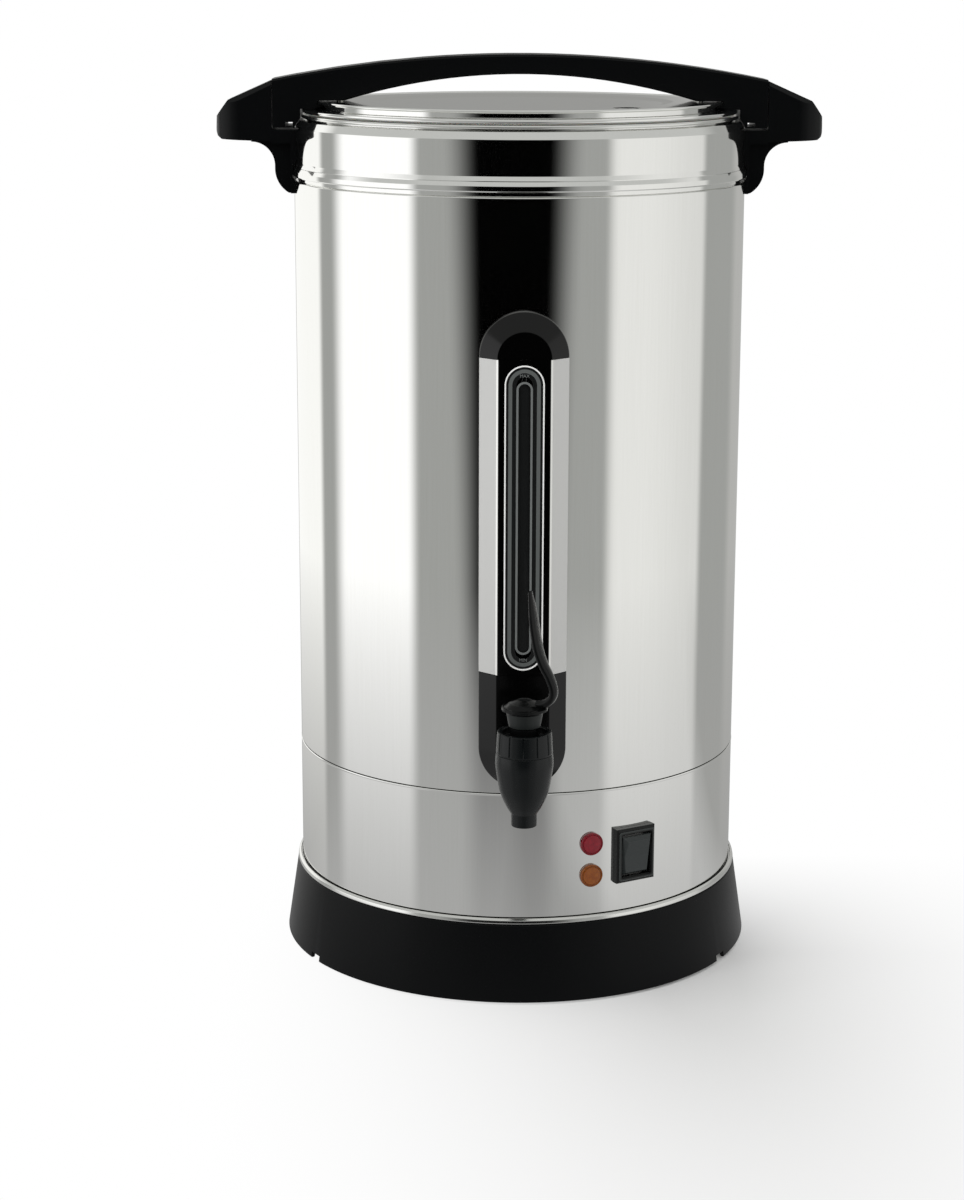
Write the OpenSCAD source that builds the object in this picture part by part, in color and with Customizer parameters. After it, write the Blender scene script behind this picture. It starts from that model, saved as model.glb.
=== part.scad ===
// Coffee urn of 16 litres: a percolator tank in a double steel body, with a sight
// gauge and a drip-free tap at the front. Z is up, the body's axis is X = Y = 0,
// the front looks along -Y and the urn stands on Z = 0.

/* [Body] */
// Outer radius of the lower and the upper shell
body_r = 135; // [132:0.5:140]
// Thickness of the drawn steel
steel_t = 0.8; // [0.6:0.1:1]
// Height of the lower shell, from the deck to the seam
lower_h = 80; // [78:1:90]
// Height of the upper shell, from the seam to its shoulder
upper_h = 344.5; // [330:0.5:380]
// Height of the open groove between the shoulder and the collar
groove_h = 2.5; // [2:0.5:5]
// Depth of that groove
groove_d = 2.4; // [2:0.1:3]
// Height of the collar band
collar_h = 29; // [27:0.5:33]
// How far the collar band lies inside the body's radius
collar_inset = 1; // [0.6:0.1:1.5]
// How far the bead at the collar's foot stands out of the body's radius
collar_bead = 1; // [0.4:0.1:1.2]
// Height of the sloped shoulder on top of the collar
neck_h = 4.4; // [4:0.1:6]
// How far the sloped shoulder goes in
neck_in = 6; // [5.8:0.1:6.4]

/* [Base] */
// Radius of the skirt at the floor
skirt_r = 144.8; // [142:0.1:150]
// Radius of the skirt at its deck
skirt_top_r = 137.9; // [137.6:0.1:141]
// Height of the skirt
skirt_h = 46; // [40:1:60]
// Wall of the skirt moulding
skirt_t = 2.5; // [2:0.1:3]
// Height of the rubber feet
foot_h = 9; // [8:0.5:12]
// How far the feet stand below the skirt's edge
foot_proud = 1; // [0.5:0.1:1.4]
// Radius of a foot
foot_r = 11; // [9:0.5:13]
// Distance of the feet from the axis
foot_pitch_r = 118; // [114:1:120]
// Height of the bright trim ring
trim_h = 4.9; // [4:0.1:7]

/* [Tank] */
// Air gap between the tank and the body shells
air_gap = 8.2; // [7.8:0.1:9]
// Height of the tank floor above the seam
tank_lift = 3; // [2:0.5:4]
// Inner corner radius of the tank floor
tank_corner = 10; // [6:0.5:14]
// Radius of the pump well in the tank floor
well_r = 26; // [25.5:0.5:30]
// Depth of the pump well
well_d = 3; // [2.5:0.5:4]
// Radius of the rolled bead on the tank's rim
rim_bead = 1.2; // [1:0.1:1.3]
// Distance of the rolled rim's outer edge inside the body's radius
rim_inset = 4.2; // [4.2:0.1:4.6]

/* [Heater] */
// Radius of the heater plate under the tank
plate_r = 75; // [70:1:80]
// Thickness of the heater plate
heat_t = 11; // [10:0.5:12]
// Radius of the circle that the heating element follows
element_r = 55; // [50:1:60]
// Radius of the heating element's sheath
sheath_r = 3.3; // [3:0.1:3.6]

/* [Gauge] */
// Width of the gauge
gauge_w = 50.4; // [48:0.4:52.8]
// How far the gauge stands out of the body
gauge_d = 15; // [14.6:0.2:17]
// Chamfer round the front of the gauge
gauge_ch = 10; // [8:0.5:10]
// Height of the gauge's lower end above the seam
gauge_lift = 4.7; // [4.5:0.1:12]
// Length of the black gauge base
gauge_base_l = 70.5; // [68:0.1:80]
// Length of the bright rails
rail_l = 181; // [150:1:200]
// Length of the black gauge cap
gauge_cap_l = 25.6; // [25.4:0.1:32]
// Half width of the bright bezel in the gauge strip
bezel_w = 11.2; // [10:0.1:12]
// Width of the bezel's bright line
bezel_line = 1.8; // [1:0.1:2]
// Half width of the bright line round the sight slot
slot_w = 4.6; // [4:0.1:5]
// Outer radius of the sight tube
tube_r = 4.5; // [4:0.1:4.8]

/* [Tap] */
// Distance of the tap's axis from the body
tap_reach = 55; // [52:1:60]
// Height of the tap's shank above the gauge's lower end
tap_lift = 23.3; // [21:0.1:26]
// Largest radius of the tap body
tap_r = 16.4; // [15.6:0.1:17]
// Radius of the outlet spout
outlet_r = 7.2; // [6.8:0.1:8]
// Radius of the outlet bore
outlet_bore = 5.2; // [4.6:0.1:5.4]
// Drop from the shank's axis to the outlet
outlet_drop = 29; // [28:0.5:34]
// Radius of the tap shank
shank_r = 9.5; // [9:0.1:10]
// Tilt of the lever from closed to fully open, degrees
lever_tilt = 25; // [15:1:25]
// Rise of the valve for each radian of lever tilt
cam_rate = 8.2; // [8.2:0.1:8.6]
// Direction of the lever at rest, degrees right of the front
lever_az = 70; // [0:5:80]

/* [Controls] */
// Direction of the lamps, degrees right of the front
lamp_az = 17.8; // [16:0.2:20]
// Radius of a lamp lens
lamp_r = 6.8; // [6:0.1:7.5]
// Height of the upper, red lamp above the deck
red_h = 47.5; // [44:0.5:55]
// Height of the lower, amber lamp above the deck
amber_h = 28; // [22:0.5:29]
// Direction of the switch, degrees right of the front
switch_az = 29.5; // [28.5:0.5:34]
// Height of the switch's middle above the deck
switch_h = 38.3; // [36:0.1:46]
// Width and height of the switch plate
switch_plate = [26.4, 33.2];
// How far the switch plate stands out
switch_proud = 4; // [3:0.2:5]
// Travel of the rocker, degrees
rocker_travel = 16; // [10:1:16]

/* [Handles] */
// Half span over the side handles
wing_x = 181.3; // [176:0.1:190]
// Width of the arch and the handles, front to back
handle_w = 32; // [28:1:36]
// Rise of the arch's crown above the collar's top
arch_rise = 42.3; // [40:0.1:50]
// Radius of the arch's top
arch_top_r = 742; // [700:1:800]
// Radius of the arch's underside
arch_under_r = 356; // [340:1:380]
// Thickness of the arch at its crown
arch_t = 11.5; // [9:0.5:13]
// Radius where the lid handle ends and the side handles start
arm_r = 147.6; // [145:0.1:149]

/* [Lid] */
// Radius of the lid's flange
flange_r = 130.1; // [129.6:0.1:130.2]
// Radius of the upright wall on the flange
lid_wall_r = 118; // [112:0.5:119]
// Height of that wall
lid_wall_h = 2.9; // [2.5:0.1:4]
// Radius of the cap's rolled bead
cap_bead = 1; // [0.8:0.1:1.2]
// Radius of the sunk panel in the cap
panel_r = 88; // [80:1:90]
// Depth of the sunk panel
panel_d = 1; // [0.6:0.1:1.4]
// Radius of the vent hole
vent_r = 8.2; // [6:0.2:9]
// Direction of the vent hole, degrees right of the front
vent_az = 36; // [33:1:45]
// Thickness of the lid seal's flange
seal_t = 1.9; // [1.6:0.1:2.4]
// How far the lid turns
lid_turn = 30; // [20:1:40]

/* [Percolator] */
// Outer radius of the pump tube
pump_r = 6.5; // [6:0.1:7.5]
// Length of the pump tube, with its foot
pump_l = 356; // [345:1:358]
// Height of the basket's underside above the tank floor
basket_lift = 257; // [240:1:258]
// Radius of the basket at its top
basket_r = 95; // [80:1:105]
// Height of the basket
basket_h = 80; // [60:1:81]

/* [Hidden] */
$fn = 96;

// Clearances: glued or clipped pieces, pieces that run, and pieces that pass each other
fit = 0.05;
run = 0.08;
pass = 0.5;

// Finishes
black_plastic = "#1b1c1e";
steel = "#c9ccce";
satin_steel = "#b4b8bb";
rubber = "#2b2b2c";
brass = "#c8a24a";

// Heights, from the floor up
deck_z = foot_proud + skirt_h;
seam_z = deck_z + lower_h;
shoulder_z = seam_z + upper_h;
collar_z = shoulder_z + groove_h;
collar_top_z = collar_z + collar_h;
neck_z = collar_top_z + neck_h;
web_z = neck_z + 0.9;
rim_z = web_z + rim_bead - 0.2;
rim_top_z = rim_z + rim_bead;
seal_z = rim_top_z + fit;
ledge_z = seal_z + seal_t + fit;
ledge_top_z = ledge_z + steel_t;
bead_z = ledge_top_z + lid_wall_h + cap_bead;
lid_top_z = bead_z + cap_bead;
tank_z = seam_z + tank_lift;

// Radii, from the body inward
inner_r = body_r - steel_t;
collar_r = body_r - collar_inset;
neck_r = collar_r - neck_in;
groove_r = body_r - groove_d;
tank_r = inner_r - air_gap;
tank_in_r = tank_r - steel_t;
rim_r = body_r - rim_inset;
jog_r = inner_r - fit;
upstand_r = inner_r - 0.1;
plug_r = tank_in_r - 0.8;
bead_r = body_r + collar_bead;
slope_r = neck_r + 3.5;

// Depths at the front, along -Y
gauge_front = -(body_r + gauge_d);
gauge_z = seam_z + gauge_lift;
rail_z = gauge_z + gauge_base_l;
cap_z = rail_z + rail_l;
gauge_top_z = cap_z + gauge_cap_l;
tube_y = -(body_r + 6.8);
tube_seal_r = 6;
tube_seal_h = 8;
tap_y = -(body_r + tap_reach);
tap_z = gauge_z + tap_lift;

// Lid handle arch: both of its curves run about axes along Y
arch_top_z = collar_top_z + arch_rise;
arm_z = collar_top_z - 0.6;
shelf_z = arm_z - 1.2;
wing_z = arm_z - 8.6;

// ---------- shared shapes ----------

// Turns a piece from straight ahead to a direction round the body, and lifts it
module toward(az, z) {
    rotate([0, 0, az]) translate([0, 0, z]) children();
}

// Round bar along +Y, from y0 to y1
module bar_y(x, z, y0, y1, r) {
    translate([x, y1, z]) rotate([90, 0, 0]) cylinder(h = y1 - y0, r = r, $fn = 48);
}

// Plain revolved ring, from an inner to an outer radius
module ring(r0, r1, z0, z1) {
    difference() {
        translate([0, 0, z0]) cylinder(h = z1 - z0, r = r1);
        translate([0, 0, z0 - 1]) cylinder(h = z1 - z0 + 2, r = r0);
    }
}

// Flat bar with round ends along Z, as a plate between two depths at the front
module stadium(w, z0, z1, y0, y1) {
    translate([-w, y0, z0 + w]) cube([2 * w, y1 - y0, z1 - z0 - 2 * w]);
    bar_y(0, z0 + w, y0, y1, w);
    bar_y(0, z1 - w, y0, y1, w);
}

// Points along a quarter round, from one angle to another
function arc_points(cx, cz, r, a0, a1, n) =
    [for (i = [0 : n]) let (a = a0 + (a1 - a0) * i / n) [cx + r * cos(a), cz + r * sin(a)]];

// Smooth step from 0 to 1
function smooth(t) = let (u = min(max(t, 0), 1)) u * u * (3 - 2 * u);

// Point on a smooth curve through a list of control points, t from 0 to 1
function knot(p, i) = p[min(max(i, 0), len(p) - 1)];
function spline(p, t) =
    let (s = t * (len(p) - 1), i = min(floor(s), len(p) - 2), u = s - i,
         a = knot(p, i - 1), b = knot(p, i), c = knot(p, i + 1), d = knot(p, i + 2))
    0.5 * ((2 * b) + (c - a) * u + (2 * a - 5 * b + 4 * c - d) * u * u
           + (3 * b - a - 3 * c + d) * u * u * u);

// Closed tube of oval section along ring centres; each ring has its own half widths
function unit(v) = v / norm(v);
module sweep(path, wide, thick, across, sides) {
    n = len(path);
    rings = [for (i = [0 : n - 1])
        let (t = unit(path[min(i + 1, n - 1)] - path[max(i - 1, 0)]),
             u = unit(across - t * (across * t)), v = cross(t, u))
        [for (k = [0 : sides - 1]) let (a = 360 * k / sides)
            path[i] + u * wide[i] * cos(a) + v * thick[i] * sin(a)]];
    polyhedron(
        points = [for (r = rings) each r],
        faces = concat(
            [[for (k = [0 : sides - 1]) k]],
            [for (i = [0 : n - 2], k = [0 : sides - 1])
                let (a = i * sides + k, b = i * sides + (k + 1) % sides)
                [a, a + sides, b + sides, b]],
            [[for (k = [sides - 1 : -1 : 0]) (n - 1) * sides + k]]));
}

// ---------- base ----------

function skirt_in_r(z) =
    skirt_r - skirt_t - (skirt_r - skirt_top_r) * (z - foot_proud) / skirt_h;
plate_t = 1.2;
plate_top = foot_h + plate_t;
shelf_in_r = foot_pitch_r - 9;
boss_hole = 2;
screw_r = 1.9;
screw_bite = 12;
foot_az = [45, 135, 225, 315];
notch_az = [59.6, 120.4, 239.6, 300.4];

module base_skirt() {
    color(black_plastic)
    difference() {
        union() {
            rotate_extrude() polygon([
                [skirt_r - 0.4, foot_proud], [skirt_r, foot_proud + 0.4],
                [skirt_top_r, deck_z - 0.4], [skirt_top_r - 0.4, deck_z],
                [upstand_r, deck_z], [upstand_r, deck_z + 9],
                [upstand_r - skirt_t, deck_z + 9], [upstand_r - skirt_t, deck_z],
                [shelf_in_r, deck_z], [shelf_in_r, deck_z - skirt_t],
                [skirt_in_r(deck_z), deck_z - skirt_t], [skirt_in_r(foot_proud), foot_proud]]);
            for (a = foot_az)
                toward(a, plate_top) translate([0, -foot_pitch_r, 0])
                    cylinder(h = deck_z - skirt_t / 2 - plate_top, r = 6);
        }
        for (a = foot_az)
            toward(a, plate_top - 1) translate([0, -foot_pitch_r, 0])
                cylinder(h = screw_bite + 3, r = boss_hole);
        for (a = foot_az)
            toward(a, foot_proud - 1) translate([0, -foot_pitch_r, 0])
                cylinder(h = plate_top - foot_proud + 0.8, r = foot_r + 0.5);
        for (a = notch_az)
            toward(a, foot_proud - 1) translate([-5, -skirt_r - 1, 0]) cube([10, skirt_t + 4, 4.8]);
    }
}

module base_plate() {
    color(satin_steel)
    difference() {
        translate([0, 0, foot_h]) cylinder(h = plate_t, r = skirt_in_r(plate_top) - 0.4);
        for (a = foot_az)
            toward(a, foot_h - 1) translate([0, -foot_pitch_r, 0]) cylinder(h = plate_t + 2, r = 2.2);
        for (a = [0 : 30 : 330], d = [42, 72])
            toward(a, foot_h - 1) translate([0, -d, 0]) {
                translate([-2, -8, 0]) cube([4, 16, plate_t + 2]);
                for (s = [-8, 8]) translate([0, s, 0]) cylinder(h = plate_t + 2, r = 2);
            }
        translate([-30, 45, foot_h - 1]) cylinder(h = plate_t + 2, r = 2.1);
    }
}

module rubber_feet() {
    color(rubber)
    for (a = foot_az)
        toward(a, 0) translate([0, -foot_pitch_r, 0])
            difference() {
                union() {
                    cylinder(h = 2, r1 = foot_r - 1.4, r2 = foot_r - 0.6);
                    translate([0, 0, 2]) cylinder(h = foot_h - 2, r1 = foot_r - 0.6, r2 = foot_r);
                }
                translate([0, 0, -1]) cylinder(h = 6, r = 4.6);
                cylinder(h = foot_h + 1, r = 2.2);
            }
}

module base_screws() {
    color(satin_steel)
    for (a = foot_az)
        toward(a, 5) translate([0, -foot_pitch_r, 0])
            difference() {
                union() {
                    translate([0, 0, -2.6]) cylinder(h = 2.6, r1 = 3.2, r2 = 4);
                    cylinder(h = plate_top - 5 + screw_bite, r = screw_r);
                }
                for (t = [0, 90])
                    rotate([0, 0, t]) translate([-2.4, -0.4, -3]) cube([4.8, 0.8, 1.7]);
            }
}

module trim_ring() {
    color(steel)
    rotate_extrude() difference() {
        union() {
            translate([body_r + fit, deck_z + fit]) square([1.3, trim_h]);
            translate([skirt_top_r - 1.5, deck_z + 1.4]) circle(r = 1.5);
            translate([body_r + fit, deck_z + fit]) square([skirt_top_r - 1.5 - body_r, 2.2]);
        }
        translate([body_r - 2, deck_z - 3]) square([6, 3 + fit]);
        translate([body_r - 2, deck_z - 1]) square([2 + fit, trim_h + 3]);
    }
}

// ---------- shells and tank ----------

module shell_hole(az, z, r) {
    toward(az, z) bar_y(0, 0, -body_r - 3, -body_r + 5, r);
}

switch_hole = [23, 30.6];
gland_h = 28;

module lower_shell() {
    color(steel)
    difference() {
        rotate_extrude() polygon([
            [inner_r, deck_z + fit], [body_r, deck_z + fit], [body_r, seam_z - 0.7],
            [body_r - 0.5, seam_z - 0.1], [jog_r, seam_z - 0.1], [jog_r, seam_z + 9],
            [jog_r - steel_t, seam_z + 9], [jog_r - steel_t, seam_z - 0.7],
            [inner_r, seam_z - 1.8]]);
        shell_hole(lamp_az, deck_z + red_h, 5.1);
        shell_hole(lamp_az, deck_z + amber_h, 5.1);
        toward(switch_az, deck_z + switch_h)
            translate([-switch_hole[0] / 2, -body_r - 3, -switch_hole[1] / 2])
                cube([switch_hole[0], 8, switch_hole[1]]);
        shell_hole(180, deck_z + gland_h, 8.1);
    }
}

// Where the four gauge screws go: [x, z]
gauge_screw_at = [[-16, rail_z - 32], [16, rail_z - 32], [-9, cap_z + 14], [9, cap_z + 14]];

module upper_shell() {
    color(steel)
    difference() {
        rotate_extrude() polygon(concat(
            [[inner_r, seam_z + 0.3], [body_r - 0.3, seam_z + 0.3], [body_r, seam_z + 0.6]],
            arc_points(body_r - groove_d, shoulder_z - groove_d, groove_d, 0, 84, 6),
            [[groove_r, shoulder_z], [groove_r, collar_z + 6],
             [groove_r - steel_t, collar_z + 6], [groove_r - steel_t, shoulder_z - steel_t]],
            [[inner_r - groove_d + 1, shoulder_z - steel_t], [inner_r, shoulder_z - groove_d]]));
        bar_y(0, tap_z, -body_r - 5, -body_r + 8, shank_r + 0.5);
        for (p = gauge_screw_at) bar_y(p[0], p[1], -body_r - 3, -body_r + 8, 2.3);
    }
}

module collar() {
    color(steel)
    difference() {
        rotate_extrude() polygon([
            [groove_r + fit, collar_z], [bead_r - 0.7, collar_z],
            [bead_r, collar_z + 0.7], [bead_r, collar_z + 3.5], [bead_r - 0.3, collar_z + 4],
            [body_r + 0.1, collar_z + 5.8], [collar_r, collar_z + 8.4],
            [collar_r, collar_top_z - 0.3], [collar_r - 0.3, collar_top_z + 0.3],
            [slope_r, neck_z - 0.5], [neck_r, neck_z], [neck_r - 0.6, neck_z], [neck_r - 0.6, web_z - fit],
            [neck_r - 1.4, web_z - fit], [neck_r - 1.4, neck_z - steel_t],
            [slope_r - 0.6, neck_z - 0.5 - steel_t],
            [collar_r - steel_t, collar_top_z - 0.2], [collar_r - steel_t, collar_z + 7],
            [groove_r + fit, collar_z + 6.4]]);
        for (s = [0, 180]) handle_screw_holes(s, 2.2);
    }
}

module inner_tank() {
    color(steel)
    difference() {
        rotate_extrude() union() {
            polygon(concat(
                [[0, tank_z - well_d], [well_r, tank_z - well_d], [well_r + 2, tank_z]],
                arc_points(tank_r - tank_corner, tank_z + tank_corner, tank_corner, -90, 0, 6),
                [[tank_r, web_z], [rim_r - rim_bead, web_z], [rim_r - rim_bead, web_z + steel_t],
                 [tank_r + 0.4, web_z + steel_t], [tank_in_r, web_z + steel_t - 0.6]],
                arc_points(tank_r - tank_corner, tank_z + tank_corner, tank_corner - steel_t, 0, -90, 6),
                [[well_r + 1.6, tank_z + steel_t], [well_r - 0.4, tank_z - well_d + steel_t],
                 [0, tank_z - well_d + steel_t]]));
            translate([rim_r - rim_bead, rim_z]) circle(r = rim_bead);
        }
        bar_y(0, tap_z, -body_r, -tank_r + 12, shank_r + 0.5);
    }
}

// ---------- heater and wiring, under the tank ----------

heat_z = tank_z - heat_t;
leg_az = 14;
leg_l = 12;
stat_r = 8;
stat_at = [[26, 12], [-26, 12]];
fuse_at = [0, -30];

module heater_plate() {
    color("#a9abad")
    difference() {
        translate([0, 0, heat_z]) cylinder(h = heat_t, r = plate_r);
        translate([0, 0, tank_z - well_d - fit]) cylinder(h = well_d + 1, r = well_r + 2.1);
        rotate_extrude() translate([element_r, heat_z]) circle(r = sheath_r + 0.1);
        for (p = stat_at) translate([p[0], p[1], heat_z - 1]) cylinder(h = 1 + 0.8, r = stat_r + 0.2);
    }
}

module heating_element() {
    color("#8d8f90") {
        rotate([0, 0, -90 + leg_az]) rotate_extrude(angle = 360 - 2 * leg_az)
            translate([element_r, heat_z]) circle(r = sheath_r);
        for (s = [-1, 1]) rotate([0, 0, s * leg_az]) translate([0, -element_r, heat_z - leg_l]) {
            cylinder(h = leg_l - fit, r = sheath_r - 0.1);
            translate([-3, -0.4, -8]) cube([6, 0.8, 9]);
        }
    }
}

module thermostat(p) {
    translate([p[0], p[1], heat_z + 0.75]) mirror([0, 0, 1]) {
        cylinder(h = 6, r = stat_r);
        translate([0, 0, 5]) cylinder(h = 6, r = stat_r - 1.5);
        for (s = [-1, 1]) translate([s * 4 - 0.4, -3, 10]) cube([0.8, 6, 8]);
    }
}

module boil_thermostat() { color("#3a3a3c") thermostat(stat_at[0]); }
module warm_thermostat() { color("#3a3a3c") thermostat(stat_at[1]); }

module thermal_fuse() {
    color(brass)
    translate([fuse_at[0], fuse_at[1], heat_z]) {
        translate([-10, -4, -1]) cube([20, 8, 1 - fit]);
        translate([-8, 0, -4.2]) rotate([0, 90, 0]) cylinder(h = 16, r = 3.4, $fn = 32);
    }
}

block_at = [0, 58];
block_size = [46, 22, 16];

module terminal_block() {
    color("#d8d6cf")
    translate([block_at[0], block_at[1], plate_top + fit])
        difference() {
            translate([-block_size[0] / 2, -block_size[1] / 2, 0]) cube(block_size);
            for (i = [-1.5 : 1 : 1.5]) translate([i * 11, 0, block_size[2] - 6]) cylinder(h = 7, r = 3.6);
            for (i = [-1.5 : 1 : 1.5], s = [-1, 1])
                bar_y(i * 11, 6, s * 9 - 4, s * 9 + 4, 2.2);
        }
}

// A loose wire along one smooth curve of four control points
wire_r = 1.4;
wire_steps = 10;
module wire(p) {
    path = [for (i = [0 : wire_steps]) spline(p, i / wire_steps)];
    w = [for (q = path) wire_r];
    sweep(path, w, w, [0.31, 0.95, 0.05], 8);
}

module internal_wires() {
    blk_z = plate_top + 6 + fit;
    blk_y = block_at[1] - block_size[1] / 2;
    leg_x = element_r * sin(leg_az);
    leg_y = -element_r * cos(leg_az);
    leg_z = heat_z - leg_l - 9.6;
    sw = [-5 * cos(switch_az) + (body_r - 30.8) * sin(switch_az),
          -5 * sin(switch_az) - (body_r - 30.8) * cos(switch_az), deck_z + switch_h - 8];
    stat = [stat_at[1][0] - 4, stat_at[1][1], heat_z - 18.8];
    color("#e8e6e0") {
        wire([[-5.5, blk_y + 3, blk_z], [-5.6, blk_y - 4, blk_z + 0.6], [-14, 18, blk_z + 30],
              [-24, -26, leg_z - 12], [-leg_x - 2, leg_y, leg_z]]);
        wire([[5.5, blk_y + 3, blk_z], [5.6, blk_y - 4, blk_z + 0.6], [24, 16, blk_z + 28],
              [34, -26, leg_z - 14], [leg_x + 2, leg_y, leg_z]]);
        wire([[16.5, blk_y + 3, blk_z], [16.7, blk_y - 4, blk_z + 0.6], [44, 22, blk_z + 24],
              [58, -42, sw[2] - 16], sw]);
        wire([[-16.5, blk_y + 3, blk_z], [-16.7, blk_y - 4, blk_z + 0.6], [-40, 32, blk_z + 34],
              [-42, 20, heat_z - 30], stat]);
    }
}

module earth_stud() {
    color(brass)
    translate([-30, 45, plate_top]) {
        translate([0, 0, -plate_t - 2.2]) cylinder(h = 2.2 - fit, r = 4);
        translate([0, 0, -plate_t - 0.5]) cylinder(h = 14, r = 2);
        translate([0, 0, fit]) cylinder(h = 3.2, r = 4.2, $fn = 6);
    }
}

gland_bore = 3.6;
module cord_gland() {
    color(rubber)
    toward(180, deck_z + gland_h)
        difference() {
            union() {
                difference() {
                    bar_y(0, 0, -body_r - 3, -body_r + 2, 11);
                    translate([0, 0, -20]) cylinder(h = 40, r = body_r + fit);
                }
                bar_y(0, 0, -body_r - 1, -body_r + 12, 8);
                difference() {
                    bar_y(0, 0, -body_r, -body_r + 4, 10.6);
                    ring(inner_r - fit, body_r + 5, -20, 20);
                }
            }
            bar_y(0, 0, -body_r - 5, -body_r + 14, gland_bore);
        }
}

// ---------- gauge ----------

// The gauge's whole outer form: a bar with round ends and one chamfer all round
module gauge_form() {
    w = gauge_w / 2;
    z0 = gauge_z + w;
    z1 = gauge_top_z - w;
    edge = gauge_front + gauge_ch;
    translate([0, 0, z0]) linear_extrude(height = z1 - z0) polygon([
        [w, -body_r + 8], [w, edge], [w - gauge_ch, gauge_front],
        [gauge_ch - w, gauge_front], [-w, edge], [-w, -body_r + 8]]);
    for (z = [z0, z1]) translate([0, 0, z]) rotate([90, 0, 0]) {
        translate([0, 0, body_r - 8]) cylinder(h = -edge - body_r + 8, r = w);
        translate([0, 0, -edge]) cylinder(h = gauge_ch, r1 = w, r2 = w - gauge_ch);
    }
}

// The gauge's form between two heights, hollowed to sit on the body
module gauge_slice(z0, z1) {
    difference() {
        intersection() {
            gauge_form();
            translate([-gauge_w, gauge_front - 5, z0]) cube([2 * gauge_w, gauge_d + 30, z1 - z0]);
        }
        translate([0, 0, z0 - 5]) cylinder(h = z1 - z0 + 10, r = body_r + fit);
    }
}

module gauge_screw_bores() {
    for (p = gauge_screw_at) bar_y(p[0], p[1], -body_r - 8.5, -body_r + 5, screw_r + 0.1);
}

module gauge_base() {
    color(black_plastic)
    difference() {
        gauge_slice(gauge_z - 5, rail_z);
        translate([0, tube_y, rail_z - tube_seal_h - 2]) cylinder(h = tube_seal_h + 3, r = tube_seal_r + fit);
        translate([0, tube_y, tap_z]) cylinder(h = gauge_base_l, r = 3.3);
        bar_y(0, tap_z, gauge_front - 2, -body_r + 5, shank_r + 0.1);
        bar_y(0, tap_z, tube_y - 3.6, tube_y + 3.6, shank_r + 2.5);
        gauge_screw_bores();
    }
}

module gauge_cap() {
    color(black_plastic)
    difference() {
        gauge_slice(cap_z, gauge_top_z + 5);
        translate([0, tube_y, cap_z - 1]) cylinder(h = tube_seal_h + 3, r = tube_seal_r + fit);
        gauge_screw_bores();
    }
}

module gauge_rails() {
    w = gauge_w / 2;
    back = -sqrt(pow(body_r + 0.15, 2) - w * w);
    edge = gauge_front + gauge_ch;
    color(satin_steel)
    for (s = [0, 1]) mirror([s, 0, 0])
        translate([0, 0, rail_z + fit]) linear_extrude(height = rail_l - 2 * fit) polygon([
            [w, back], [w, edge], [w - gauge_ch, gauge_front],
            [w - gauge_ch, gauge_front + 1.7], [w - 1.2, edge + 0.5], [w - 1.2, back - 0.3]]);
}

bezel_z0 = rail_z + 3;
bezel_z1 = cap_z - 3;
ledge_w = 2.6;

module gauge_strip() {
    w = gauge_w / 2 - gauge_ch - fit;
    leg_in = w - 2.4;
    leg_back = -sqrt(pow(body_r + 0.15, 2) - leg_in * leg_in);
    color(black_plastic)
    difference() {
        translate([0, 0, rail_z + fit]) linear_extrude(height = rail_l - 2 * fit) polygon([
            [w, leg_back], [w, gauge_front], [-w, gauge_front], [-w, leg_back],
            [-leg_in, leg_back], [-leg_in, gauge_front + 2], [leg_in, gauge_front + 2],
            [leg_in, leg_back]]);
        stadium(bezel_w + fit, bezel_z0 - fit, bezel_z1 + fit, gauge_front - 1, gauge_front + 1.6);
        stadium(bezel_w - ledge_w, bezel_z0 + ledge_w, bezel_z1 - ledge_w,
                gauge_front - 1, gauge_front + 3);
    }
}

module gauge_bezel() {
    color(steel)
    difference() {
        stadium(bezel_w, bezel_z0, bezel_z1, gauge_front - 0.4, gauge_front + 1.55);
        stadium(bezel_w - bezel_line, bezel_z0 + bezel_line, bezel_z1 - bezel_line,
                gauge_front - 1, gauge_front + 2);
    }
}

window_in = bezel_line + fit;
module gauge_window() {
    color("#303336")
    stadium(bezel_w - window_in, bezel_z0 + window_in, bezel_z1 - window_in,
            gauge_front + 0.3, gauge_front + 1.55);
}

slot_line = 1.2;
slot_in = bezel_w - slot_w + 2.6;
module slot_trim() {
    color(steel)
    difference() {
        stadium(slot_w, bezel_z0 + slot_in, bezel_z1 - slot_in,
                gauge_front, gauge_front + 0.3);
        stadium(slot_w - slot_line, bezel_z0 + slot_in + slot_line,
                bezel_z1 - slot_in - slot_line, gauge_front - 1, gauge_front + 1);
    }
}

tube_z0 = rail_z - tube_seal_h - 2;
tube_z1 = cap_z + tube_seal_h + 2;
module sight_tube() {
    color("#dfe8ea")
    translate([0, tube_y, 0]) ring(tube_r - 1.2, tube_r, tube_z0 + fit, tube_z1 - fit);
}

module tube_seals() {
    color("#c9c4b8")
    translate([0, tube_y, 0]) {
        ring(tube_r + fit, tube_seal_r, rail_z - tube_seal_h, rail_z);
        ring(tube_r + fit, tube_seal_r, cap_z, cap_z + tube_seal_h);
    }
}

module gauge_screws() {
    color(satin_steel)
    for (p = gauge_screw_at) {
        head_y = -sqrt(pow(inner_r, 2) - pow(abs(p[0]) + 3.5, 2)) + fit;
        bar_y(p[0], p[1], -body_r - 8, head_y + 1, screw_r);
        bar_y(p[0], p[1], head_y, head_y + 2.4, 3.4);
    }
}

// ---------- tap ----------

chamber_r = 11.5;
seat_drop = 4;
body_top = 13.4;
deck_top = 22;
ring_top = 26;
bonnet_r = tap_r - 0.7;
pin_rise = 29;
shoulder_t = 3;
washer_t = 1.5;
nut_t = 7;
inner_washer_t = 2.5;

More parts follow.
